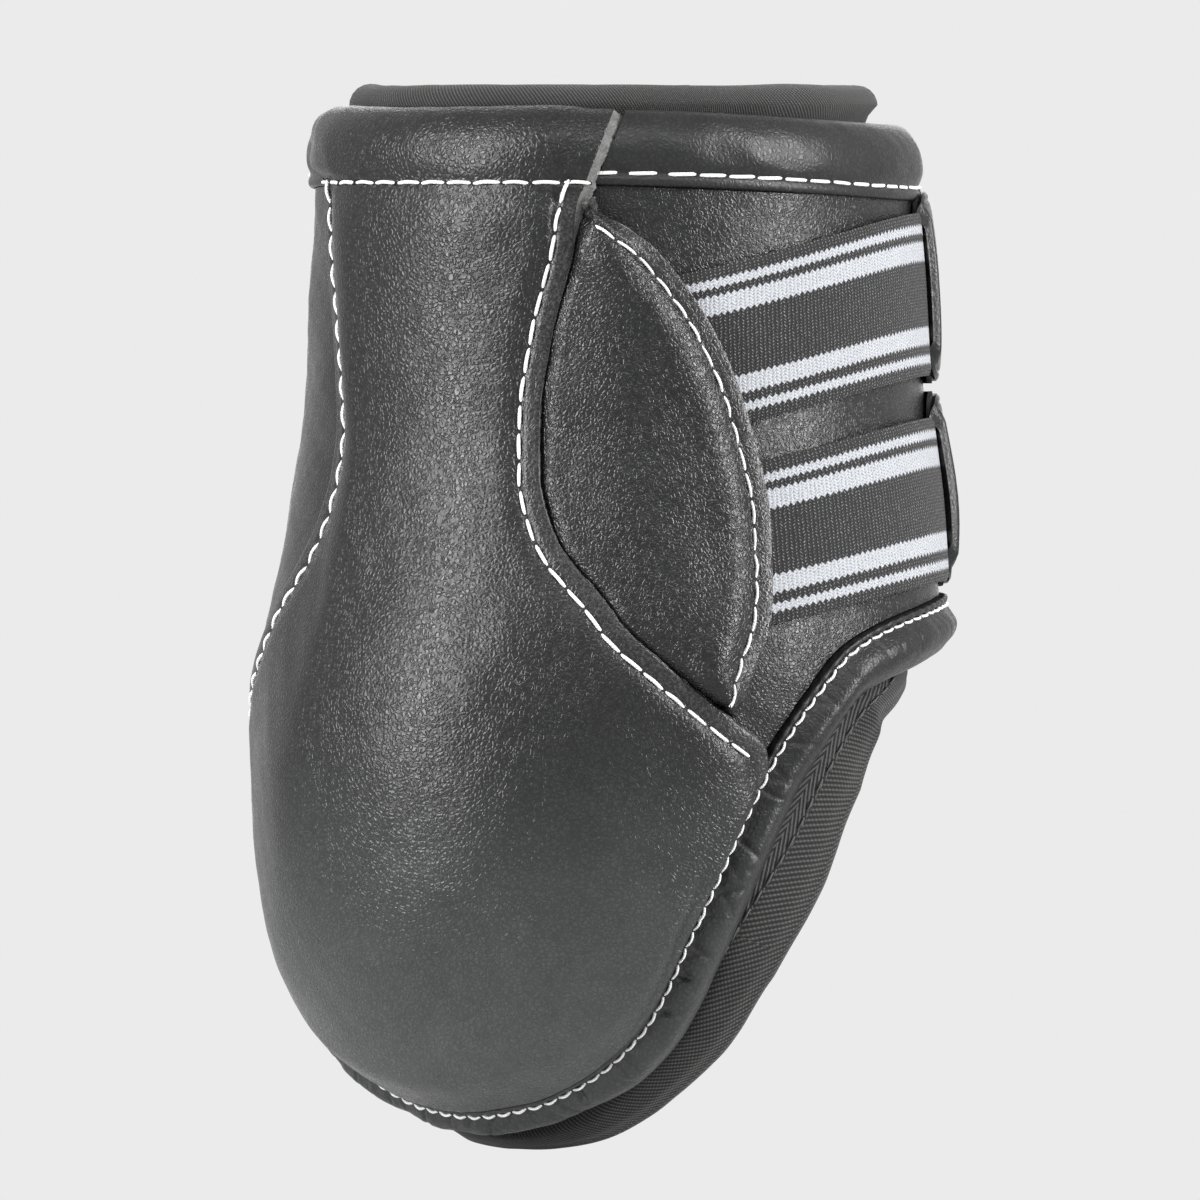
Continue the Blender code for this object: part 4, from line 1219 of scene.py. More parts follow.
@dataclass
class BackPanel:
    """The leather panel over the cup and the back of the neck, rolled on over the collar."""

    shop: Workshop
    foot_angle: float = 61.5
    swell: float = 2.3 * MM
    tuck: float = 7.0 * MM
    swell_side_share: float = 0.45
    swell_top_share: float = 0.45
    open_from_share: float = 0.55
    open_run_share: float = 0.35
    wall_top: float = 0.1546
    lean: float = 5.0
    left_reach: float = 10.0
    groove: float = 0.30
    edge_drop: float = 0.14
    plump: float = 0.30
    plump_lead: float = 0.4 * MM
    plump_run: float = 3.5 * MM
    hem_drop: float = 0.30
    press: float = 0.45
    stitch_inset: float = 3.2 * MM
    fuzz_inside: float = 1.3 * MM
    fuzz_outside: float = 0.8 * MM
    fuzz_start: float = 0.1440
    fuzz_run: float = 0.0100
    side_slant: float = 0.60 * MM
    ragged: float = 0.20 * MM
    sharp: float = 80.0
    flat_end: float = 0.1535
    flat_fade: float = 0.0020
    rows: int = 150
    feet: int = 88
    feet_share: float = 0.79
    collar: tuple[tuple[float, float], ...] = (
        (3.05, -1.9), (2.90, -1.2), (2.62, -0.5), (2.60, 0.1), (2.75, 1.0), (2.90, 2.6), (2.85, 4.4),
        (2.45, 6.2), (1.70, 8.0), (0.55, 9.7), (-1.00, 11.0), (-2.80, 11.6), (-4.30, 10.9), (-5.20, 9.3),
        (-5.50, 7.4),
    )

    def columns(self) -> Array:
        """Return the columns' shares of the way across, close together near the raw edges."""
        last = self.feet_share * self.foot_angle
        feet = WALL.hem_angles(-last, last, self.feet) / self.foot_angle
        steps = [0, .4, .9, 1.5, 2.2, 3, 3.8, 4.6, 5.4, 6.2, *range(7, 17), 17.3, 18.6, 20]
        edge = 1.0 - np.array(steps) / 100
        return np.concatenate([-edge, feet, edge[::-1]])

    def depth(self, across: Array, height: Array, bottom: Array) -> Array:
        """Return the depth of the panel's inner face."""
        swell = self.swell * eased((across + 1) / self.swell_side_share)
        open_foot = eased((across - self.open_from_share) / self.open_run_share)
        low = np.maximum(eased((height - bottom) / self.tuck), open_foot)
        high = mixed(self.swell_top_share, 1.0, eased((WALL.collar_foot - height) / self.tuck))
        return WALL.gap + swell * low * high

    def fuzz(self, height: Array) -> Array:
        """Return how much the raw edge has widened into a fuzzy band, toward the collar."""
        return eased((height - self.fuzz_start) / self.fuzz_run)

    def grid(self) -> tuple[Array, Array]:
        """Return the outer face's points and heights, row by row from the hem to inside the collar."""
        across = self.columns()[None, :]
        share = np.linspace(0.0, 1.0, self.rows)[:, None] ** 1.2
        bottom = WALL.hem(across * self.foot_angle)
        height = mixed(bottom, self.wall_top, share)
        edge_height = mixed(WALL.hem(self.foot_angle), self.wall_top, share)
        edge = WALL.seam(edge_height) - WALL.arc(self.fuzz_inside * self.fuzz(edge_height))
        depth = self.depth(across, height, bottom) + WALL.leather
        wall = WALL.point(across * edge, height, depth)
        roll = smooth_run(self.collar, 4)
        along = np.maximum.accumulate(roll[:, 1:])
        rise = WALL.collar_foot + roll[:, 1:]
        lean = self.lean * along / WALL.collar_height
        edge = WALL.seam(WALL.collar_foot) + lean - WALL.arc(self.fuzz_inside)
        top = self.depth(across, np.full_like(across, self.wall_top), bottom[:1]) + WALL.leather
        slack = (top - self.collar[0][0] * MM) * (1 - eased((along - 0.005) / 0.006))
        left = self.left_reach * eased(-across) * eased(along / (2.5 * MM))
        above = WALL.point(across * edge - left, rise, roll[:, :1] + slack)
        heights = np.concatenate([height, np.broadcast_to(rise, (len(rise), across.size))])
        return np.concatenate([wall, above[1:]]), np.delete(heights, self.rows, axis=0)

    def build(self) -> bpy.types.Object:
        """Make the panel, sew it down and mount it.

        Returns:
            The panel's object.
        """
        outer, heights = self.grid()
        sides = np.minimum(gap_to(outer, outer[:, 0]), gap_to(outer, outer[:, -1]))
        hem = gap_to(outer, outer[0])
        on_wall = 1 - eased((heights - self.flat_end) / self.flat_fade)
        push = -self.groove * bell(sides - self.stitch_inset, GROOVE_WIDTH) * on_wall
        push -= self.edge_drop * bell(sides, EDGE_WIDTH)
        past = sides - self.stitch_inset - self.plump_lead
        push += self.plump * eased(past / self.plump_run) - self.hem_drop * bell(hem, 0.7 * MM)
        right = gap_to(outer, outer[:, -1])
        push -= self.press * (1 - eased((right - self.stitch_inset - self.plump_lead) / MM)) * on_wall
        push = push * MM + waves(outer, (21, 0.20, 3), (7, 0.05, 4))
        outer = outer + skin_normals(outer) * push[..., None]
        margins = beside(sides, self.stitch_inset)
        fuzz = self.fuzz(heights[:, 0])
        slant = mixed(self.side_slant, self.fuzz_inside + self.fuzz_outside, fuzz)
        looks = self.shop.wardrobe
        faces = (looks.panel, looks.raw, looks.suede)
        piece = Sheet("back_panel_leather", outer, LEATHER_BODY, faces, slant,
                      margins=margins * on_wall, ragged=self.ragged).build(self.sharp)
        self.sew(piece, outer, heights)
        nodes = ("back_panel", "back_collar_cover", "back_collar_core")
        self.shop.mount(piece, Slot.LEATHER, Body.SHELL, *nodes, fill=0.8)
        return piece

    def sew(self, piece: bpy.types.Object, outer: Array, heights: Array) -> None:
        """Sew the panel's two sides and its collar line."""
        stitch = Stitch(pitch=4.55 * MM, length=3.9 * MM, bow=0.18 * MM)
        rows = []
        normals = skin_normals(outer)
        low = heights[:, 0] < WALL.collar_foot - 2.2 * MM
        for column, side in ((0, -1.0), (-1, 1.0)):
            inset = self.stitch_inset - self.fuzz_inside * self.fuzz(heights[:, 0]) * 0.55
            edge = Path(outer[:, column], normals[:, column]).cut(low)
            run = unit(np.gradient(edge.points, axis=0))
            moved = edge.points + np.cross(edge.outs, run) * (inset[low, None] * side)
            inside = gap_to(moved, outer[0]) > self.stitch_inset * 2.0
            rows.append((Path(moved, edge.outs).cut(inside).even(1 * MM).lying_on(piece), stitch))
        angles = np.linspace(-0.915, 0.905, 60) * float(WALL.seam(WALL.collar_foot))
        height = WALL.collar_foot - 0.5 * MM
        line = Path(WALL.point(angles, height, 3 * MM), WALL.normal(angles, height))
        stitch = Stitch(pitch=5.0 * MM, length=4.3 * MM, bow=0.1 * MM)
        rows.append((line.even(1 * MM).lying_on(piece), stitch))
        self.shop.sew("back_panel_stitching", rows)


def smooth_run(corners: Sequence[tuple[float, float]], steps: int) -> Array:
    """Return a smooth open line through corners given in millimetres, with steps between each two."""
    points = np.array(corners, float) * MM
    before = np.concatenate([points[:1], points[:-1]])
    after = np.concatenate([points[1:], points[-1:]])
    slopes = (after - before) / 2
    line = []
    for k in range(len(points) - 1):
        for share in np.arange(steps) / steps:
            line.append(
                points[k] * (1 + 2 * share) * (1 - share) ** 2 + slopes[k] * share * (1 - share) ** 2
                + points[k + 1] * share**2 * (3 - 2 * share) + slopes[k + 1] * share**2 * (share - 1)
            )
    return np.array([*line, points[-1]])


@dataclass
class Wing:
    """A wing's leather, from under the back panel round to the front, where it folds over the foam."""

    shop: Workshop
    side: int
    foot_angle: float = 54.0
    back_foot: float = 61.5
    overhang: float = 0.25 * MM
    columns: int = 110
    rows: int = 90
    fold: tuple[tuple[float, float], ...] = (
        (0.5, -0.05), (1.0, -0.35), (1.35, -0.9), (1.5, -1.6), (1.5, -3.2), (1.5, -4.9), (1.3, -5.8),
        (0.9, -6.3), (0.3, -6.5), (-1.5, -6.5), (-4.0, -6.5),
    )

    def build(self) -> bpy.types.Object:
        """Make the wing's leather and mount it."""
        share = np.linspace(0.0, 1.0, self.columns)[None, :]
        rise = np.linspace(0.0, 1.0, self.rows)[:, None]
        foot = float(WALL.hem(self.back_foot))
        first = min(float(WALL.under(foot)), self.foot_angle)
        spots = WALL.hem_angles(first, WALL.front_angle, self.columns)
        feet = np.interp(share, np.linspace(0, 1, self.columns + 1), spots)
        bottom = np.maximum(WALL.hem(feet), foot) - self.overhang
        top = WALL.collar_foot - WALL.butt
        height = mixed(bottom, top, rise) - WALL.dip(feet) * rise
        start = np.minimum(WALL.under(mixed(foot, top, rise)), self.foot_angle)
        angle = mixed(start, WALL.front_angle, (feet - first) / (WALL.front_angle - first))
        skin = WALL.point(self.side * angle, height, 0.0)
        fold = np.array(self.fold) * MM
        edge, out = skin[:, -1], WALL.normal(self.side * angle[:, -1], height[:, -1])
        ahead = unit(skin[:, -1] - skin[:, -2])
        turned = edge[:, None] + ahead[:, None] * fold[None, :, :1] + out[:, None] * fold[None, :, 1:]
        outer = np.concatenate([skin, turned], axis=1)
        if self.side < 0:
            outer = outer[:, ::-1]
        push = waves(outer, (16, 0.16, 7), (5, 0.05, 8))
        outer = outer + skin_normals(outer) * push[..., None]
        looks = self.shop.wardrobe
        name = "lateral_wing_leather" if self.side < 0 else "medial_wing_leather"
        piece = Sheet(name, outer, WING_BODY, (looks.wing, looks.suede, looks.suede)).build()
        nodes = ("lateral_wing_panel",) if self.side < 0 else ("medial_wing_root", "medial_wing_panel")
        band = None if self.side < 0 else WING_BAND
        self.shop.mount(piece, Slot.LEATHER, Body.SHELL, *nodes, band=band)
        return piece


@dataclass
class Leaf:
    """The puffed leather leaf that covers the roots of the straps."""

    shop: Workshop
    foot: float = 0.0680
    top: float = 0.1534
    climb_run: float = 3.8 * MM
    climb_lead: float = 1.7 * MM
    lift: float = 2.4 * MM
    puff: float = 1.8 * MM
    groove: float = 0.36
    edge_drop: float = 0.12
    margin_drop: float = 0.15
    swell: float = 0.90
    swell_lead: float = 4.4 * MM
    swell_width: float = 3.2 * MM
    side_slant: float = 0.75 * MM
    ragged: float = 0.16 * MM
    stitch_inset: float = 3.0 * MM

    def build(self) -> bpy.types.Object:
        """Make the leaf, sew it down and mount it."""
        near = 1 - np.array([0, 1.2, 2.5, 4, 5.5, *range(7, 34, 2), 36, 39, 42]) / 100
        across = np.concatenate([np.linspace(0.0, 0.56, 26), near[::-1]])[None, :]
        height = mixed(self.foot, self.top, np.linspace(0.0, 1.0, 130))[:, None]
        seam, edge = WALL.seam(height), WALL.leaf(height)
        angle = mixed(WALL.under(height), edge, across)
        climb = eased((angle - seam + WALL.arc(self.climb_lead)) / WALL.arc(self.climb_run))
        climb = climb * eased((edge - seam) / WALL.arc(5.0 * MM))
        shown = np.clip((angle - seam) / (edge - seam), 0.0, 1.0)
        depth = mixed(WALL.gap, self.lift, climb) + self.puff * np.sin(math.pi * shown) ** 2 + WALL.leather
        outer = WALL.point(angle, height, depth)
        side = gap_to(outer, outer[:, -1])
        push = -self.groove * bell(side - self.stitch_inset, GROOVE_WIDTH)
        push -= self.edge_drop * bell(side, EDGE_WIDTH)
        push -= self.margin_drop * (1 - eased((side - self.stitch_inset) / MM))
        swollen = bell(side - self.stitch_inset - self.swell_lead, self.swell_width)
        push += self.swell * swollen * eased((angle - seam) / WALL.arc(2 * MM))
        push = push * MM + waves(outer, (9, 0.10, 13))
        outer = outer + skin_normals(outer) * push[..., None]
        margins = beside(side, self.stitch_inset)
        looks = self.shop.wardrobe
        faces = (looks.leaf, looks.raw, looks.suede)
        piece = Sheet("medial_leaf_leather", outer, LEATHER_BODY, faces, self.side_slant,
                      margins=margins, ragged=self.ragged).build()
        edge = Path(outer[:, -1], skin_normals(outer)[:, -1]).shifted(self.stitch_inset)
        rise = height[:, 0]
        shown = WALL.seam(rise) + WALL.arc(1.2 * MM) < WALL.leaf(rise) - WALL.arc(self.stitch_inset)
        path = edge.cut(shown).even(1 * MM).lying_on(piece)
        stitch = Stitch(pitch=4.4 * MM, length=3.8 * MM, thickness=0.52 * MM)
        self.shop.sew("medial_leaf_stitching", [(path, stitch)])
        self.shop.mount(piece, Slot.LEATHER, Body.SHELL, "medial_leaf", "medial_leaf_pad", fill=0.6)
        return piece


@dataclass
class Roll:
    """A rolled edge of soft leather with a sewn lip, the base of the collar and the hem."""

    shop: Workshop
    lip_stitch: Stitch = Stitch(pitch=4.95 * MM, length=4.2 * MM)
    cap_reach: float = 2.6 * MM

    def outline(self) -> Array:
        """Return the roll's section as (depth, reach) pairs."""
        raise NotImplementedError

    def rings(self, angles: Array) -> Array:
        """Return the section's points at angles."""
        raise NotImplementedError

    def rounded(self, rings: Array, first: bool, last: bool) -> Array:
        """Return rings whose ends are drawn in and rounded off."""
        for wanted, index, inner in ((first, 0, 1), (last, -1, -2)):
            if wanted:
                middle = rings[index].mean(axis=0)
                ahead = unit(middle - rings[inner].mean(axis=0))
                caps = [
                    middle + (rings[index] - middle) * math.cos(turn)
                    + ahead * (self.cap_reach * math.sin(turn))
                    for turn in np.radians((20, 40, 58, 72, 82))
                ]
                rings = np.concatenate([caps[::-1], rings] if index == 0 else [rings, caps])
        return rings


@dataclass
class Collar(Roll):
    """The rolled collar on each side of the back panel."""

    corners: tuple[tuple[float, float], ...] = (
        (-1.4, 0.15), (0.0, 0.1), (0.08, -0.9), (0.5, -1.1), (1.0, -0.8), (1.2, -0.1), (1.0, 0.6),
        (0.62, 1.1), (1.0, 1.7), (1.45, 2.8), (1.65, 4.3), (1.45, 6.0), (0.9, 7.7), (-0.2, 9.4),
        (-1.6, 10.8), (-3.3, 11.5), (-4.8, 10.9), (-5.8, 9.2), (-6.1, 6.8), (-5.9, 4.3), (-5.2, 2.2),
        (-4.2, 0.9), (-2.8, 0.4),
    )
    lean: float = 5.0
    stitch_reach: float = 1.1 * MM
    lean_end: float = 50.0
    lean_run: float = 14.0
    bare_run: float = 21.0

    def outline(self) -> Array:
        """Return the collar's section as (depth, reach above its foot) pairs."""
        return softened(self.corners)

    def start(self, reach: Array) -> Array:
        """Return the angle where the collar leaves the back panel's raw edge, at a reach above its foot."""
        foot = float(WALL.seam(WALL.collar_foot))
        full = WALL.collar_height
        return foot + self.lean * np.clip(reach, 0.0, full) / full + WALL.arc(0.2 * MM)

    def rings(self, angles: Array) -> Array:
        """Return the section's points at angles, pinched here and there."""
        outline = self.outline()
        reach = outline[None, :, 1]
        size = np.abs(angles)[:, None]
        first = self.start(reach)
        late = first - float(self.start(np.array(0.0)))
        lean = np.where(size < self.lean_end, late * (self.lean_end - size) / self.lean_run, 0.0)
        angle = (size + np.clip(lean, 0.0, None)) * np.sign(angles)[:, None]
        height = WALL.collar_foot + reach - WALL.dip(angle)
        rings = WALL.point(angle, height, np.broadcast_to(outline[None, :, 0], height.shape))
        out = WALL.normal(angle, height)
        shown = eased((outline[None, :, 1] - 1.6 * MM) / (2.5 * MM)) * (outline[None, :, 0] > -2.5 * MM)
        uneven = waves(rings, (11, 0.16, 31), (4, 0.04, 32)) * shown
        return rings + out * uneven[..., None]

    def build(self) -> None:
        """Make the collar's three stretches, sew their lips and mount them."""
        looks = self.shop.wardrobe
        foot = float(self.start(np.array(0.0)))
        for name, angles, caps, nodes, band in (
            ("lateral_collar_roll", np.linspace(-WALL.front_angle, -foot, 120), (True, False),
             ("lateral_collar_cover", "lateral_collar_core"), None),
            ("medial_collar_root_roll", np.linspace(foot, WALL.split_angle, 20), (False, False),
             ("medial_collar_root_cover", "medial_collar_root_core"), None),
            ("medial_collar_roll", np.linspace(WALL.split_angle, WALL.front_angle, 100), (False, True),
             ("medial_collar_cover", "medial_collar_core"), WING_BAND),
        ):
            rings = self.rounded(self.rings(angles), *caps)
            piece = Tube(name, rings, (looks.roll,)).build()
            height = WALL.collar_foot + self.stitch_reach - WALL.dip(angles)
            bare = (angles > -foot - self.bare_run) & (angles < 0)
            sewn = ~bare & (np.abs(angles) < WALL.front_angle - 0.5)
            path = Path(WALL.point(angles, height, 1 * MM), WALL.normal(angles, height)).cut(sewn)
            rows = [(path.even(1 * MM).lying_on(piece), self.lip_stitch)]
            self.shop.sew(f"{name}_stitching", rows, band)
            self.shop.mount(piece, Slot.LEATHER, Body.SHELL, *nodes, fill=0.8, band=band)


@dataclass
class Hem(Roll):
    """The gathered roll that binds the wall's lower edge."""

    corners: tuple[tuple[float, float], ...] = (
        (-2.4, 0.4), (-0.8, 0.4), (-0.1, 0.45), (0.35, 0.5), (1.0, 0.55), (1.35, 0.75), (1.35, 1.10),
        (1.2, 1.45), (0.90, 1.75), (1.15, 2.3), (1.65, 3.3), (1.95, 4.2), (1.85, 5.3), (1.3, 6.5),
        (0.2, 7.4), (-1.3, 7.8), (-2.9, 7.8), (-4.5, 7.2), (-5.9, 5.9), (-6.5, 4.2), (-6.2, 2.4),
        (-5.0, 1.0), (-3.8, 0.6),
    )
    stitch_drop: float = 1.75 * MM
    gather: float = 0.90 * MM
    fullness: Stations = Stations((
        (0.0, 0.88), (22.0, 0.95), (40.0, 1.24), (90.0, 1.30), (116.0, 1.15), (240.0, 1.0),
    ))
    lip_stitch: Stitch = Stitch(
        pitch=2.95 * MM, length=2.75 * MM, thickness=0.50 * MM, bow=-0.55 * MM, hole=0.32 * MM,
    )

    def outline(self) -> Array:
        """Return the hem's section as (depth, distance past the hem) pairs."""
        return softened(self.corners, 1)

    def rings(self, angles: Array) -> Array:
        """Return the section's points at angles, gathered in creases that run out from the stitches."""
        outline = self.outline()
        normals = outline_normals(outline)
        run = run_lengths(WALL.base(angles, WALL.hem(angles)))[:, None]
        full = self.fullness.at(np.abs(angles))[:, None]
        below = np.maximum(outline[None, :, 1] - self.stitch_drop, 0.0)
        drop = outline[None, :, 1] + below * (full - 1)
        proud = outline[None, :, 0] + np.clip(outline[None, :, 0] - 0.9 * MM, 0.0, below) * (full - 1) * 3.5
        shown = eased((drop - self.stitch_drop - 0.1 * MM) / (0.9 * MM)) * (outline[None, :, 0] > -3.2 * MM)
        low = mixed(0.22, 1.0, eased((68.0 - np.abs(angles)[:, None]) / 16.0))
        low = low * mixed(0.35, 1.0, eased((angles[:, None] + 5.0) / 25.0))
        push = -self.creases(run, drop) * shown * low
        lip = (drop < self.stitch_drop) * (outline[None, :, 0] > 0.2 * MM)
        push = push + lip * 0.08 * MM * np.sin(run / self.lip_stitch.pitch * 2 * math.pi)
        depth = proud + normals[None, :, 0] * push
        drop = drop + normals[None, :, 1] * push
        rings = WALL.past_hem(angles[:, None], drop, depth)
        uneven = waves(rings, (9, 0.16, 41), (3.5, 0.05, 42)) * shown
        return rings + WALL.normal(angles, WALL.hem(angles))[:, None] * uneven[..., None]

    def creases(self, run: Array, drop: Array) -> Array:
        """Return how deep the gathering creases go, at distances along the hem and past it."""
        chance = np.random.default_rng(5)
        deep = np.zeros(np.broadcast_shapes(run.shape, drop.shape))
        for start in np.arange(0.0, run.max(), self.lip_stitch.pitch * 0.72):
            start += chance.uniform(-0.6, 0.6) * MM
            slope, size = chance.uniform(-0.8, 0.9), chance.uniform(0.15, 1.0) ** 1.8
            width = chance.uniform(0.28, 0.65)
            length, bend = chance.uniform(1.5, 5.0) * MM, chance.uniform(-60, 60)
            past = drop - self.stitch_drop
            away = run - start - past * slope - past**2 * bend
            fade = 1 - eased((past - length) / (1.5 * MM))
            deep = np.maximum(deep, self.gather * size * bell(away, width * MM) * fade)
        return deep

    def build(self) -> None:
        """Make the hem's two stretches, sew their lips and mount them."""
        looks = self.shop.wardrobe
        for name, start, end, count, caps, nodes, band in (
            ("shell_hem_roll", -WALL.front_angle, WALL.split_angle, 1150, (True, False),
             ("shell_hem_cover", "shell_hem_core"), None),
            ("medial_hem_roll", WALL.split_angle, WALL.front_angle, 420, (False, True),
             ("medial_hem_cover", "medial_hem_core"), WING_BAND),
        ):
            angles = WALL.hem_angles(start, end, count)
            piece = Tube(name, self.rounded(self.rings(angles), *caps), (looks.roll,)).build()
            inner = angles[8:-3] if band is None else angles[3:-8]
            drop = np.full(inner.shape, self.stitch_drop)
            path = Path(WALL.past_hem(inner, drop, drop * 0 + MM), WALL.normal(inner, WALL.hem(inner)))
            rows = [(path.even(0.6 * MM).lying_on(piece), self.lip_stitch)]
            self.shop.sew(f"{name}_stitching", rows, band)
            self.shop.mount(piece, Slot.LEATHER, Body.SHELL, *nodes, fill=0.7, band=band)


@dataclass
class Liner:
    """The soft removable liner, its tape and the foam behind the leather."""

    shop: Workshop
    rim_rise: float = 4.0 * MM
    rim_flare: float = 2.2 * MM
    bulge: float = 4.6 * MM
    sags: Stations = Stations((
        (0.0, 0.0033), (5.0, 0.0032), (9.0, 0.0028), (14.0, 0.0021), (19.0, 0.0015), (25.0, 0.0007),
        (31.0, 0.0), (240.0, 0.0),
    ))
    sag_middle: float = 4.0
    full_flap: float = 12.0 * MM
    hem_width: float = 7.5 * MM
    tape_reaches: Stations = Stations((
        (0.0, 0.10), (46.0, 0.14), (62.0, 0.36), (84.0, 0.36), (100.0, 0.12), (240.0, 0.12),
    ))
    tape_thickness: float = 0.8 * MM
    drops: Stations = Stations((
        (0.0, 0.0150), (27.0, 0.0192), (34.0, 0.0194), (41.0, 0.0202), (49.0, 0.0222), (57.0, 0.0240),
        (66.0, 0.0236), (73.0, 0.0224), (78.0, 0.0210), (82.0, 0.0190), (86.0, 0.0177), (90.0, 0.0170),
        (94.0, 0.0164), (105.0, 0.0146), (114.0, 0.0118), (240.0, 0.0115),
    ))
    bulge_shares: Stations = Stations(((0.0, 0.45), (0.40, 0.88), (0.75, 0.96), (1.0, 0.80)))
    edge_round: float = 2.4 * MM
    rim_round: float = 3.6 * MM
    calm: float = 10.0 * MM
    front_round: float = 2.6 * MM
    flare_shares: Stations = Stations(((0.0, 0.0), (0.25, 0.55), (0.46, 1.0), (1.0, 1.0)))

    def flap(self, angle: Array) -> Array:
        """Return how far the liner reaches past the hem roll."""
        return self.drops.at(np.abs(angle)) - self.hem_width - WALL.butt

    def swell(self, angle: Array, reach: Array) -> Array:
        """Return the liner's outward bulge at a share of its reach past the hem roll."""
        low = self.sags.at(np.abs(angle - self.sag_middle)) * eased(reach / 0.5)
        full = np.minimum(self.flap(angle) / self.full_flap, 1.0)
        return self.bulge * full * self.bulge_shares.at(reach) + low

    def ring_points(self, angles: Array) -> Array:
        """Return the liner's sections at angles, a ring of points for each."""
        angle = angles[:, None]
        outer, inner = WALL.liner
        half, middle = (outer - inner) / 2, (outer + inner) / 2
        flap = self.flap(angle)
        rim_foot = WALL.height - WALL.collar_dip
        rim_top = WALL.height + self.rim_rise
        wall = np.linspace(0.0, 1.0, 46)[None, 1:]
        reach = np.linspace(1.0, 0.0, 16)[None, :]
        turns = np.radians(np.linspace(-75, 75, 9))[None, :]

        def past(share: Array, depth: Array | float) -> Array:
            """Return points past the hem roll."""
            drop = self.hem_width + WALL.butt + (flap - self.edge_round) * share
            return WALL.past_hem(angle, drop, np.broadcast_to(depth, drop.shape), self.calm)

        def lip(turn: Array) -> Array:
            """Return points round the liner's lower edge."""
            swell = self.swell(angle, np.ones((1, 1)))
            drop = self.hem_width + WALL.butt + flap + self.edge_round * (np.cos(turn) - 1)
            depth = middle + swell / 2 + (half + swell / 2) * np.sin(turn)
            return WALL.past_hem(angle, drop, depth, self.calm)

        def up(share: Array, depth: float) -> Array:
            """Return points up the wall and the rim."""
            height = mixed(WALL.hem(angle), rim_top - self.rim_round, share)
            flare = self.rim_flare * self.flare_shares.at((height - rim_foot) / (rim_top - rim_foot))
            return WALL.point(angle, height, depth + flare)

        def rim(turn: Array) -> Array:
            """Return points round the rim."""
            height = rim_top + self.rim_round * (np.cos(turn) - 1) + 0 * angle
            return WALL.point(angle, height, middle + self.rim_flare + half * np.sin(turn))

        swell = self.swell(angle, reach)
        return np.concatenate([
            past(reach, outer + swell), up(wall, outer), rim(turns[:, ::-1]), up(wall[:, ::-1], inner),
            past(reach[:, ::-1], inner), lip(turns),
        ], axis=1)

    def build(self) -> None:
        """Make the liner, the tape and the foam, and mount them."""
        looks = self.shop.wardrobe
        for name, start, end, count, nodes, band in (
            ("shell", -WALL.front_angle, WALL.split_angle, 230,
             ("shell_liner", "shell_foam", "shell_hem_tape"), None),
            ("medial", WALL.split_angle, WALL.front_angle, 100,
             ("medial_liner", "medial_foam", "medial_hem_tape"), WING_BAND),
        ):
            angles = WALL.hem_angles(start, end, count)
            rings = self.ring_points(angles)
            soft = waves(rings, (24, 0.14, 51), (8, 0.03, 52))
            around = np.roll(rings, -1, axis=1) - np.roll(rings, 1, axis=1)
            out = unit(np.cross(np.gradient(rings, axis=0), around))
            rings = self.closed(rings + out * (soft - 0.2 * MM)[..., None], out, band is not None)
            padding = Tube(f"{name}_liner_padding", rings, (looks.liner,)).build()
            self.shop.mount(padding, Slot.LINER, Body.SHELL, nodes[0], fill=0.7, band=band)
            top = (WALL.collar_foot - WALL.butt - WALL.dip(angles))[None, :]
            height = mixed(WALL.hem(angles)[None, :], top, np.linspace(0.0, 1.0, 30)[:, None])
            outer = WALL.point(np.broadcast_to(angles, height.shape), height, WALL.foam[0])
            foam = Sheet(f"{name}_wall_foam", outer, WALL.foam[0] - WALL.foam[1], (looks.foam,) * 3).build()
            self.shop.mount(foam, Slot.FOAM, Body.SHELL, nodes[1], fill=0.9, band=band)
            self.tape(name, angles, nodes[2], band)

    def closed(self, rings: Array, out: Array, last: bool) -> Array:
        """Return the rings with the front end, the first or the last, rounded through its thickness."""
        index, inner = (-1, -2) if last else (0, 1)
        ahead = unit(rings[index] - rings[inner])
        caps = [
            rings[index] + (ahead * math.sin(turn) - out[index] * (1 - math.cos(turn))) * self.front_round
            for turn in np.radians((20, 40, 58, 74, 88))
        ]
        return np.concatenate([rings, caps] if last else [caps[::-1], rings])

    def tape(self, name: str, angles: Array, node: str, band: tuple[Body, float, float] | None) -> None:
        """Make the tape over the join between the hem roll and the liner, with its black stitches."""
        looks = self.shop.wardrobe
        reach = np.linspace(1.0, 0.0, 14)[:, None] * self.tape_reaches.at(np.abs(angles))[None, :]
        drop = self.hem_width + 2 * WALL.butt + self.flap(angles)[None, :] * reach
        depth = WALL.liner[0] + self.swell(angles[None, :], reach) + WALL.gap + self.tape_thickness
        outer = WALL.past_hem(angles[None, :], drop, depth, self.calm)
        outer = outer + skin_normals(outer) * waves(outer, (8, 0.10, 61))[..., None]
        piece = Sheet(f"{name}_hem_tape_band", outer, self.tape_thickness, (looks.tape,) * 3).build()
        edge = Path(outer[1], skin_normals(outer)[1]).even(1 * MM).lying_on(piece)
        stitch = Stitch(pitch=3.4 * MM, length=2.6 * MM, thickness=0.40 * MM, hole=0.25 * MM)
        self.shop.sew(f"{name}_hem_tape_stitching", [(edge, stitch)], band, dark=True)
        self.shop.mount(piece, Slot.TAPE, Body.SHELL, node, band=band)


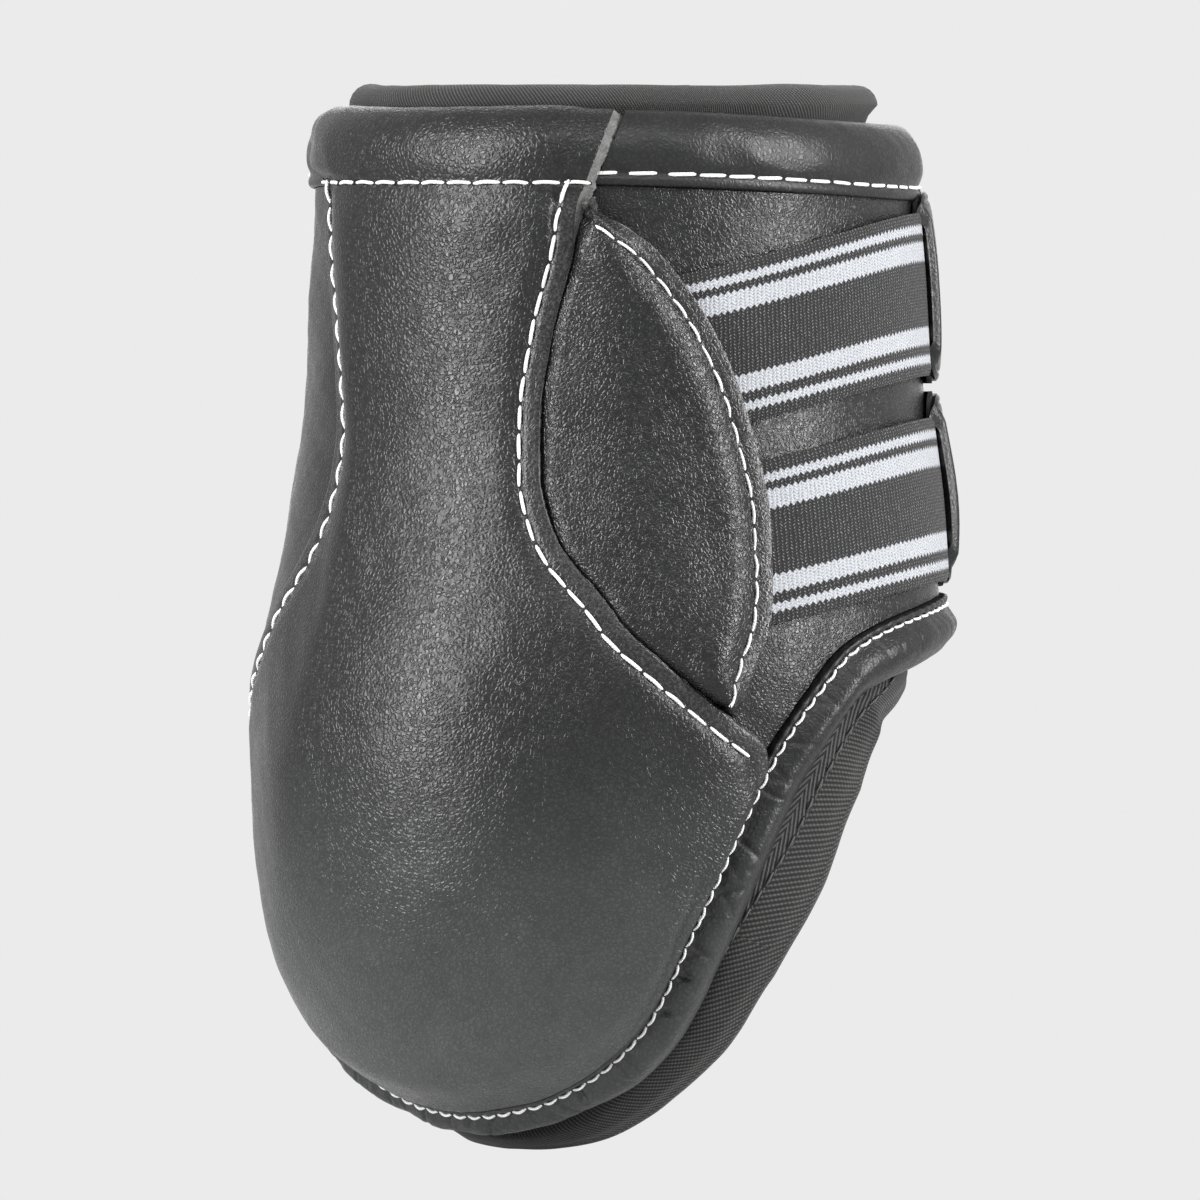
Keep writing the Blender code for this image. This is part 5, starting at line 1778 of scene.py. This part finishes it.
@dataclass
class Strap:
    """An elastic strap with its leather tab."""

    shop: Workshop
    name: str
    root_height: float
    tab_height: float
    strap_body: Body
    tab_body: Body
    width: float = 26.2 * MM
    rise: float = 6.8 * MM
    elastic: float = 1.4 * MM
    tuck: float = 6.0 * MM
    tab_hinge: float = 119.0
    swing_start: float = 68.0
    swing_end: float = 78.0
    under_start: float = 119.6
    face_start: float = 118.2
    lift_end: float = 127.0
    tab_end: float = 234.0
    tab_full_lift: float = 195.0
    tab_width: float = 31.4 * MM
    tab_crown: float = 0.9 * MM
    patch: float = 0.9 * MM
    tip_start: float = 0.86
    tip_run: float = 0.14
    sag_from: float = 11.8 * MM
    sag_fade_start: float = 130.0
    sag_fade_run: float = 30.0
    turn_under: float = 1.6
    pattern_radius: float = 0.0510

    def middle(self, angle: Array) -> Array:
        """Return the height of the strap's middle line."""
        share = (angle - WALL.flex_angle) / (self.tab_hinge - WALL.flex_angle)
        return self.root_height + self.rise * np.sin(math.pi / 2 * np.minimum(share, 1.0))

    def band(self, name: str, start: Callable[[Array], Array] | float, end: float) -> bpy.types.Object:
        """Make a stretch of the elastic, whose start may follow a line that gives its angle at heights."""
        across = bunched(np.linspace(0.0, 1.0, 24)[:, None])
        flex_height = self.middle(np.array(WALL.flex_angle)) + self.width * (across - 0.5)
        first = start(flex_height) if callable(start) else np.full_like(across, start)
        angle = mixed(first, end, np.linspace(0.0, 1.0, 90)[None, :])
        height = self.middle(angle) + self.width * (across - 0.5)
        edge = np.minimum(across, 1 - across) * self.width
        depth = WALL.gap + self.elastic - 0.35 * MM * bell(edge, 0.5 * MM)
        outer = WALL.point(angle, height, np.broadcast_to(depth, angle.shape))
        looks = self.shop.wardrobe
        piece = Sheet(name, outer, self.elastic - 0.1 * MM, (looks.elastic,) * 3).build()
        self.pattern(piece)
        return piece

    def pattern(self, piece: bpy.types.Object) -> None:
        """Lay the stripes' pattern on the elastic by its angle and its distance below the upper edge."""
        mesh = piece.data
        spots = np.zeros(len(mesh.vertices) * 3)
        mesh.vertices.foreach_get("co", spots)
        spots = spots.reshape(-1, 3)
        angle = np.degrees(np.arctan2(spots[:, 0], -spots[:, 1]))
        along = np.radians(angle) * self.pattern_radius
        down = self.middle(angle) + self.width / 2 - (spots[:, 2] + WALL.cup_level)
        places = np.stack([along, down], axis=-1)[corner_points(mesh)]
        mesh.uv_layers["Pattern"].data.foreach_set("uv", places.astype(np.float32).ravel())

    def lift(self, angle: Array) -> Array:
        """Return the depth of the tab's inner face, which steps up over the elastic's end and the patches."""
        share = (angle - self.tab_hinge) / (self.tab_full_lift - self.tab_hinge)
        lifted = mixed(WALL.gap, WALL.gap * 4 + self.patch * 2, eased(share))
        return np.maximum(lifted, mixed(1.75 * MM, 0.0, eased((angle - self.tab_hinge - 0.2) / 3.0)))

    def layer(self, name: str, narrower: float, base: float, body: float, looks: Sequence[Any], bead: bool,
              start: float) -> bpy.types.Object:
        """Make one of the tab's two leathers.

        Args:
            name: The piece's name.
            narrower: How far its edge lies inside the tab's.
            base: The depth of its inner face over the tab's.
            body: Its thickness.
            looks: The finishes of its face, edge and back.
            bead: Whether its edge is turned over into a bead with a pressed line inside.
            start: The angle where it starts.

        Returns:
            The leather's object.
        """
        side = np.array([0, .25, .5, .8, 1.1, 1.4, 1.7, 2.1, 2.6, 3.2, 4, 5, 6.5, 8.5, 11, 13.5]) * MM
        half = self.tab_width / 2 - narrower
        reach = np.concatenate([-half + side, (half - side)[::-1]])[:, None]
        share = np.linspace(0.0, 1.0, 150)[None, :]
        share = mixed(share, bunched(share), 0.85)
        end = self.tab_end - float(WALL.arc(narrower))
        angle = mixed(start, end, share)
        late = np.clip((share - self.tip_start) / self.tip_run, 0.0, 1.0)
        early = np.clip(1 - (angle - start) / 9.0, 0.0, 1.0)
        rounding = 1 - 0.35 * late**2 - 0.10 * late**6 - 0.17 * early**3 - 0.08 * early**12
        height = self.tab_height + reach * rounding
        crown = self.tab_crown * (1 - (np.abs(reach) / (self.tab_width / 2)) ** 2.5)
        edge = half - np.abs(reach) + 0 * angle
        length = np.minimum((angle - start), (end - angle)) / float(WALL.arc(1.0)) + 0 * reach
        edge = np.minimum(edge, length)
        shape = -0.35 * bell(edge, 0.35 * MM) - 0.22 * bell(edge - 1.35 * MM, 0.28 * MM) if bead else 0 * edge
        lift = self.lift(angle)
        sag = eased((np.abs(reach) - self.sag_from) / (3.0 * MM))
        sag = sag * mixed(1.0, 0.5, eased((angle - self.sag_fade_start) / self.sag_fade_run))
        sag = sag * (1 - eased(late * 1.4))
        inner = lift - (lift - WALL.gap) * sag + base
        inner = inner - base * 0.95 * (1 - eased((angle - start) / self.turn_under)) * (base > 0)
        depth = np.maximum(inner, WALL.gap) + body + crown * eased((angle - start + 1.5) / 4.0) + shape * MM
        outer = WALL.point(angle, height, depth)
        outer = outer + skin_normals(outer) * waves(outer, (17, 0.12, 71))[..., None]
        return Sheet(name, outer, body, looks).build()

    def build(self) -> None:
        """Make the elastic and the tab, and mount them."""
        looks = self.shop.wardrobe
        name, swing = self.name, self.swing_start
        end = self.band(f"{name}_strap_root", lambda height: WALL.leaf(height) - WALL.arc(self.tuck), swing)
        self.shop.mount(end, Slot.ELASTIC, Body.SHELL, f"{name}_strap_end", band=WING_BAND)
        rest = self.band(f"{name}_strap_elastic", swing, self.tab_hinge - float(WALL.arc(WALL.butt)))
        self.shop.mount(rest, Slot.ELASTIC, Body.WING, f"{name}_elastic",
                        band=(self.strap_body, swing, self.swing_end))
        under = self.layer(f"{name}_tab_backing", 0.0, 0.0, 0.7 * MM,
                           (looks.suede,) * 3, False, self.under_start)
        face = self.layer(f"{name}_tab_leather", 0.45 * MM, 0.75 * MM, 1.0 * MM,
                          (looks.tab, looks.tab, looks.suede), True, self.face_start)
        fold = (self.tab_body, self.tab_hinge, self.lift_end)
        for piece, nodes in ((under, ()), (face, (f"{name}_tab",))):
            self.shop.mount(piece, Slot.LEATHER, self.strap_body, *nodes, band=fold)


@dataclass
class Studio:
    """The camera, the backdrop, the floor and the soft lights."""

    azimuth: float = 37.0
    frame: float = 1200 / 6.2 * MM
    aim: tuple[float, float] = (-2.26 * MM, 26.7 * MM)
    camera_distance: float = 1.0
    backdrop: float = 0.83
    glow: float = 0.20
    floor_height: float = -0.0622
    floor_reach: float = 4.0
    lamps: tuple[tuple[str, float, float, tuple[float, float], float], ...] = (
        ("left_box", -57.0, 0.36, (0.23, 0.90), 14.2), ("right_box", 68.0, 0.36, (0.17, 0.90), 14.6),
        ("top_box", 10.0, 1.00, (0.80, 0.50), 5.0), ("front_box", 178.0, 0.36, (0.40, 0.80), 2.0),
    )
    lamp_distance: float = 0.9
    lamp_target: float = 0.03

    def build(self) -> None:
        """Set the whole studio up."""
        scene = bpy.context.scene
        scene.view_settings.view_transform = "Standard"
        turn = math.radians(self.azimuth)
        right = Vector((math.cos(turn), math.sin(turn), 0.0))
        back = Vector((math.sin(turn), -math.cos(turn), 0.0))
        data = bpy.data.cameras.new("camera")
        data.type = "ORTHO"
        data.ortho_scale = self.frame
        camera = placed("camera", data)
        camera.location = right * self.aim[0] + back * self.camera_distance + Vector((0.0, 0.0, self.aim[1]))
        camera.rotation_euler = (math.pi / 2, 0.0, turn)
        scene.camera = camera
        self.world(scene)
        self.floor()
        for lamp in self.lamps:
            self.hang(*lamp)

    def world(self, scene: bpy.types.Scene) -> None:
        """Make the backdrop pale for the camera and in reflections, and light the boot more softly."""
        world = bpy.data.worlds.new("backdrop")
        scene.world = world
        world.use_nodes = True
        shop = NodeShop(world.node_tree)
        colour = shop.colour((self.glow,) * 3, (self.backdrop,) * 3, shop.seen())
        shop.tree.links.new(colour.socket, world.node_tree.nodes["Background"].inputs["Color"])

    def floor(self) -> None:
        """Lay a plain pale floor under the boot."""
        mesh = bpy.data.meshes.new("floor")
        reach = self.floor_reach
        corners = [(-reach, -reach), (reach, -reach), (reach, reach), (-reach, reach)]
        mesh.from_pydata([(x, y, self.floor_height) for x, y in corners], [], [(0, 1, 2, 3)])
        floor = placed("floor", mesh)
        mesh.materials.append(PaleFloor("pale_floor", self.backdrop).build())

    def hang(
        self, name: str, bearing: float, height: float, size: tuple[float, float], power: float,
    ) -> None:
        """Hang a soft lamp at a bearing from the camera's side, aimed at the boot."""
        turn = math.radians(self.azimuth + bearing)
        away = self.lamp_distance
        place = Vector((math.sin(turn) * away, -math.cos(turn) * away, height))
        data = bpy.data.lights.new(name, "AREA")
        data.shape = "RECTANGLE"
        data.size, data.size_y = size
        data.energy = power
        lamp = placed(name, data)
        lamp.location = place
        target = Vector((0, 0, self.lamp_target))
        lamp.rotation_euler = (target - place).to_track_quat("-Z", "Y").to_euler()


def dress_hardware(frame: dict[str, Any], wardrobe: Wardrobe) -> None:
    """Give the CAD pieces that stay as they are their finishes."""
    hooked = ("back_liner_strip", "lateral_liner_strip", "medial_liner_strip",
              "upper_hook_patch", "lower_hook_patch", "upper_loop_patch", "lower_loop_patch")
    for name, look in {"strike_plate": wardrobe.plate, **dict.fromkeys(hooked, wardrobe.hook)}.items():
        piece = frame["nodes"][name]
        for slot in piece.material_slots:
            slot.material = look
        LOG.info("%s: %s", name, look.name)


def main() -> None:
    """Dress the boot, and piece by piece."""
    logging.basicConfig(level=logging.INFO, format="%(message)s")
    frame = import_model()
    wardrobe = Wardrobe()
    shop = Workshop(wardrobe, Seamstress(wardrobe))
    Studio().build()
    dress_hardware(frame, wardrobe)
    BackPanel(shop).build()
    Wing(shop, -1).build()
    Wing(shop, 1).build()
    Leaf(shop).build()
    Collar(shop).build()
    Hem(shop).build()
    Liner(shop).build()
    Strap(shop, "upper", 0.1311, 0.1393, Body.UPPER_STRAP, Body.UPPER_TAB).build()
    Strap(shop, "lower", 0.0981, 0.1066, Body.LOWER_STRAP, Body.LOWER_TAB).build()


if __name__ == "__main__":
    main()
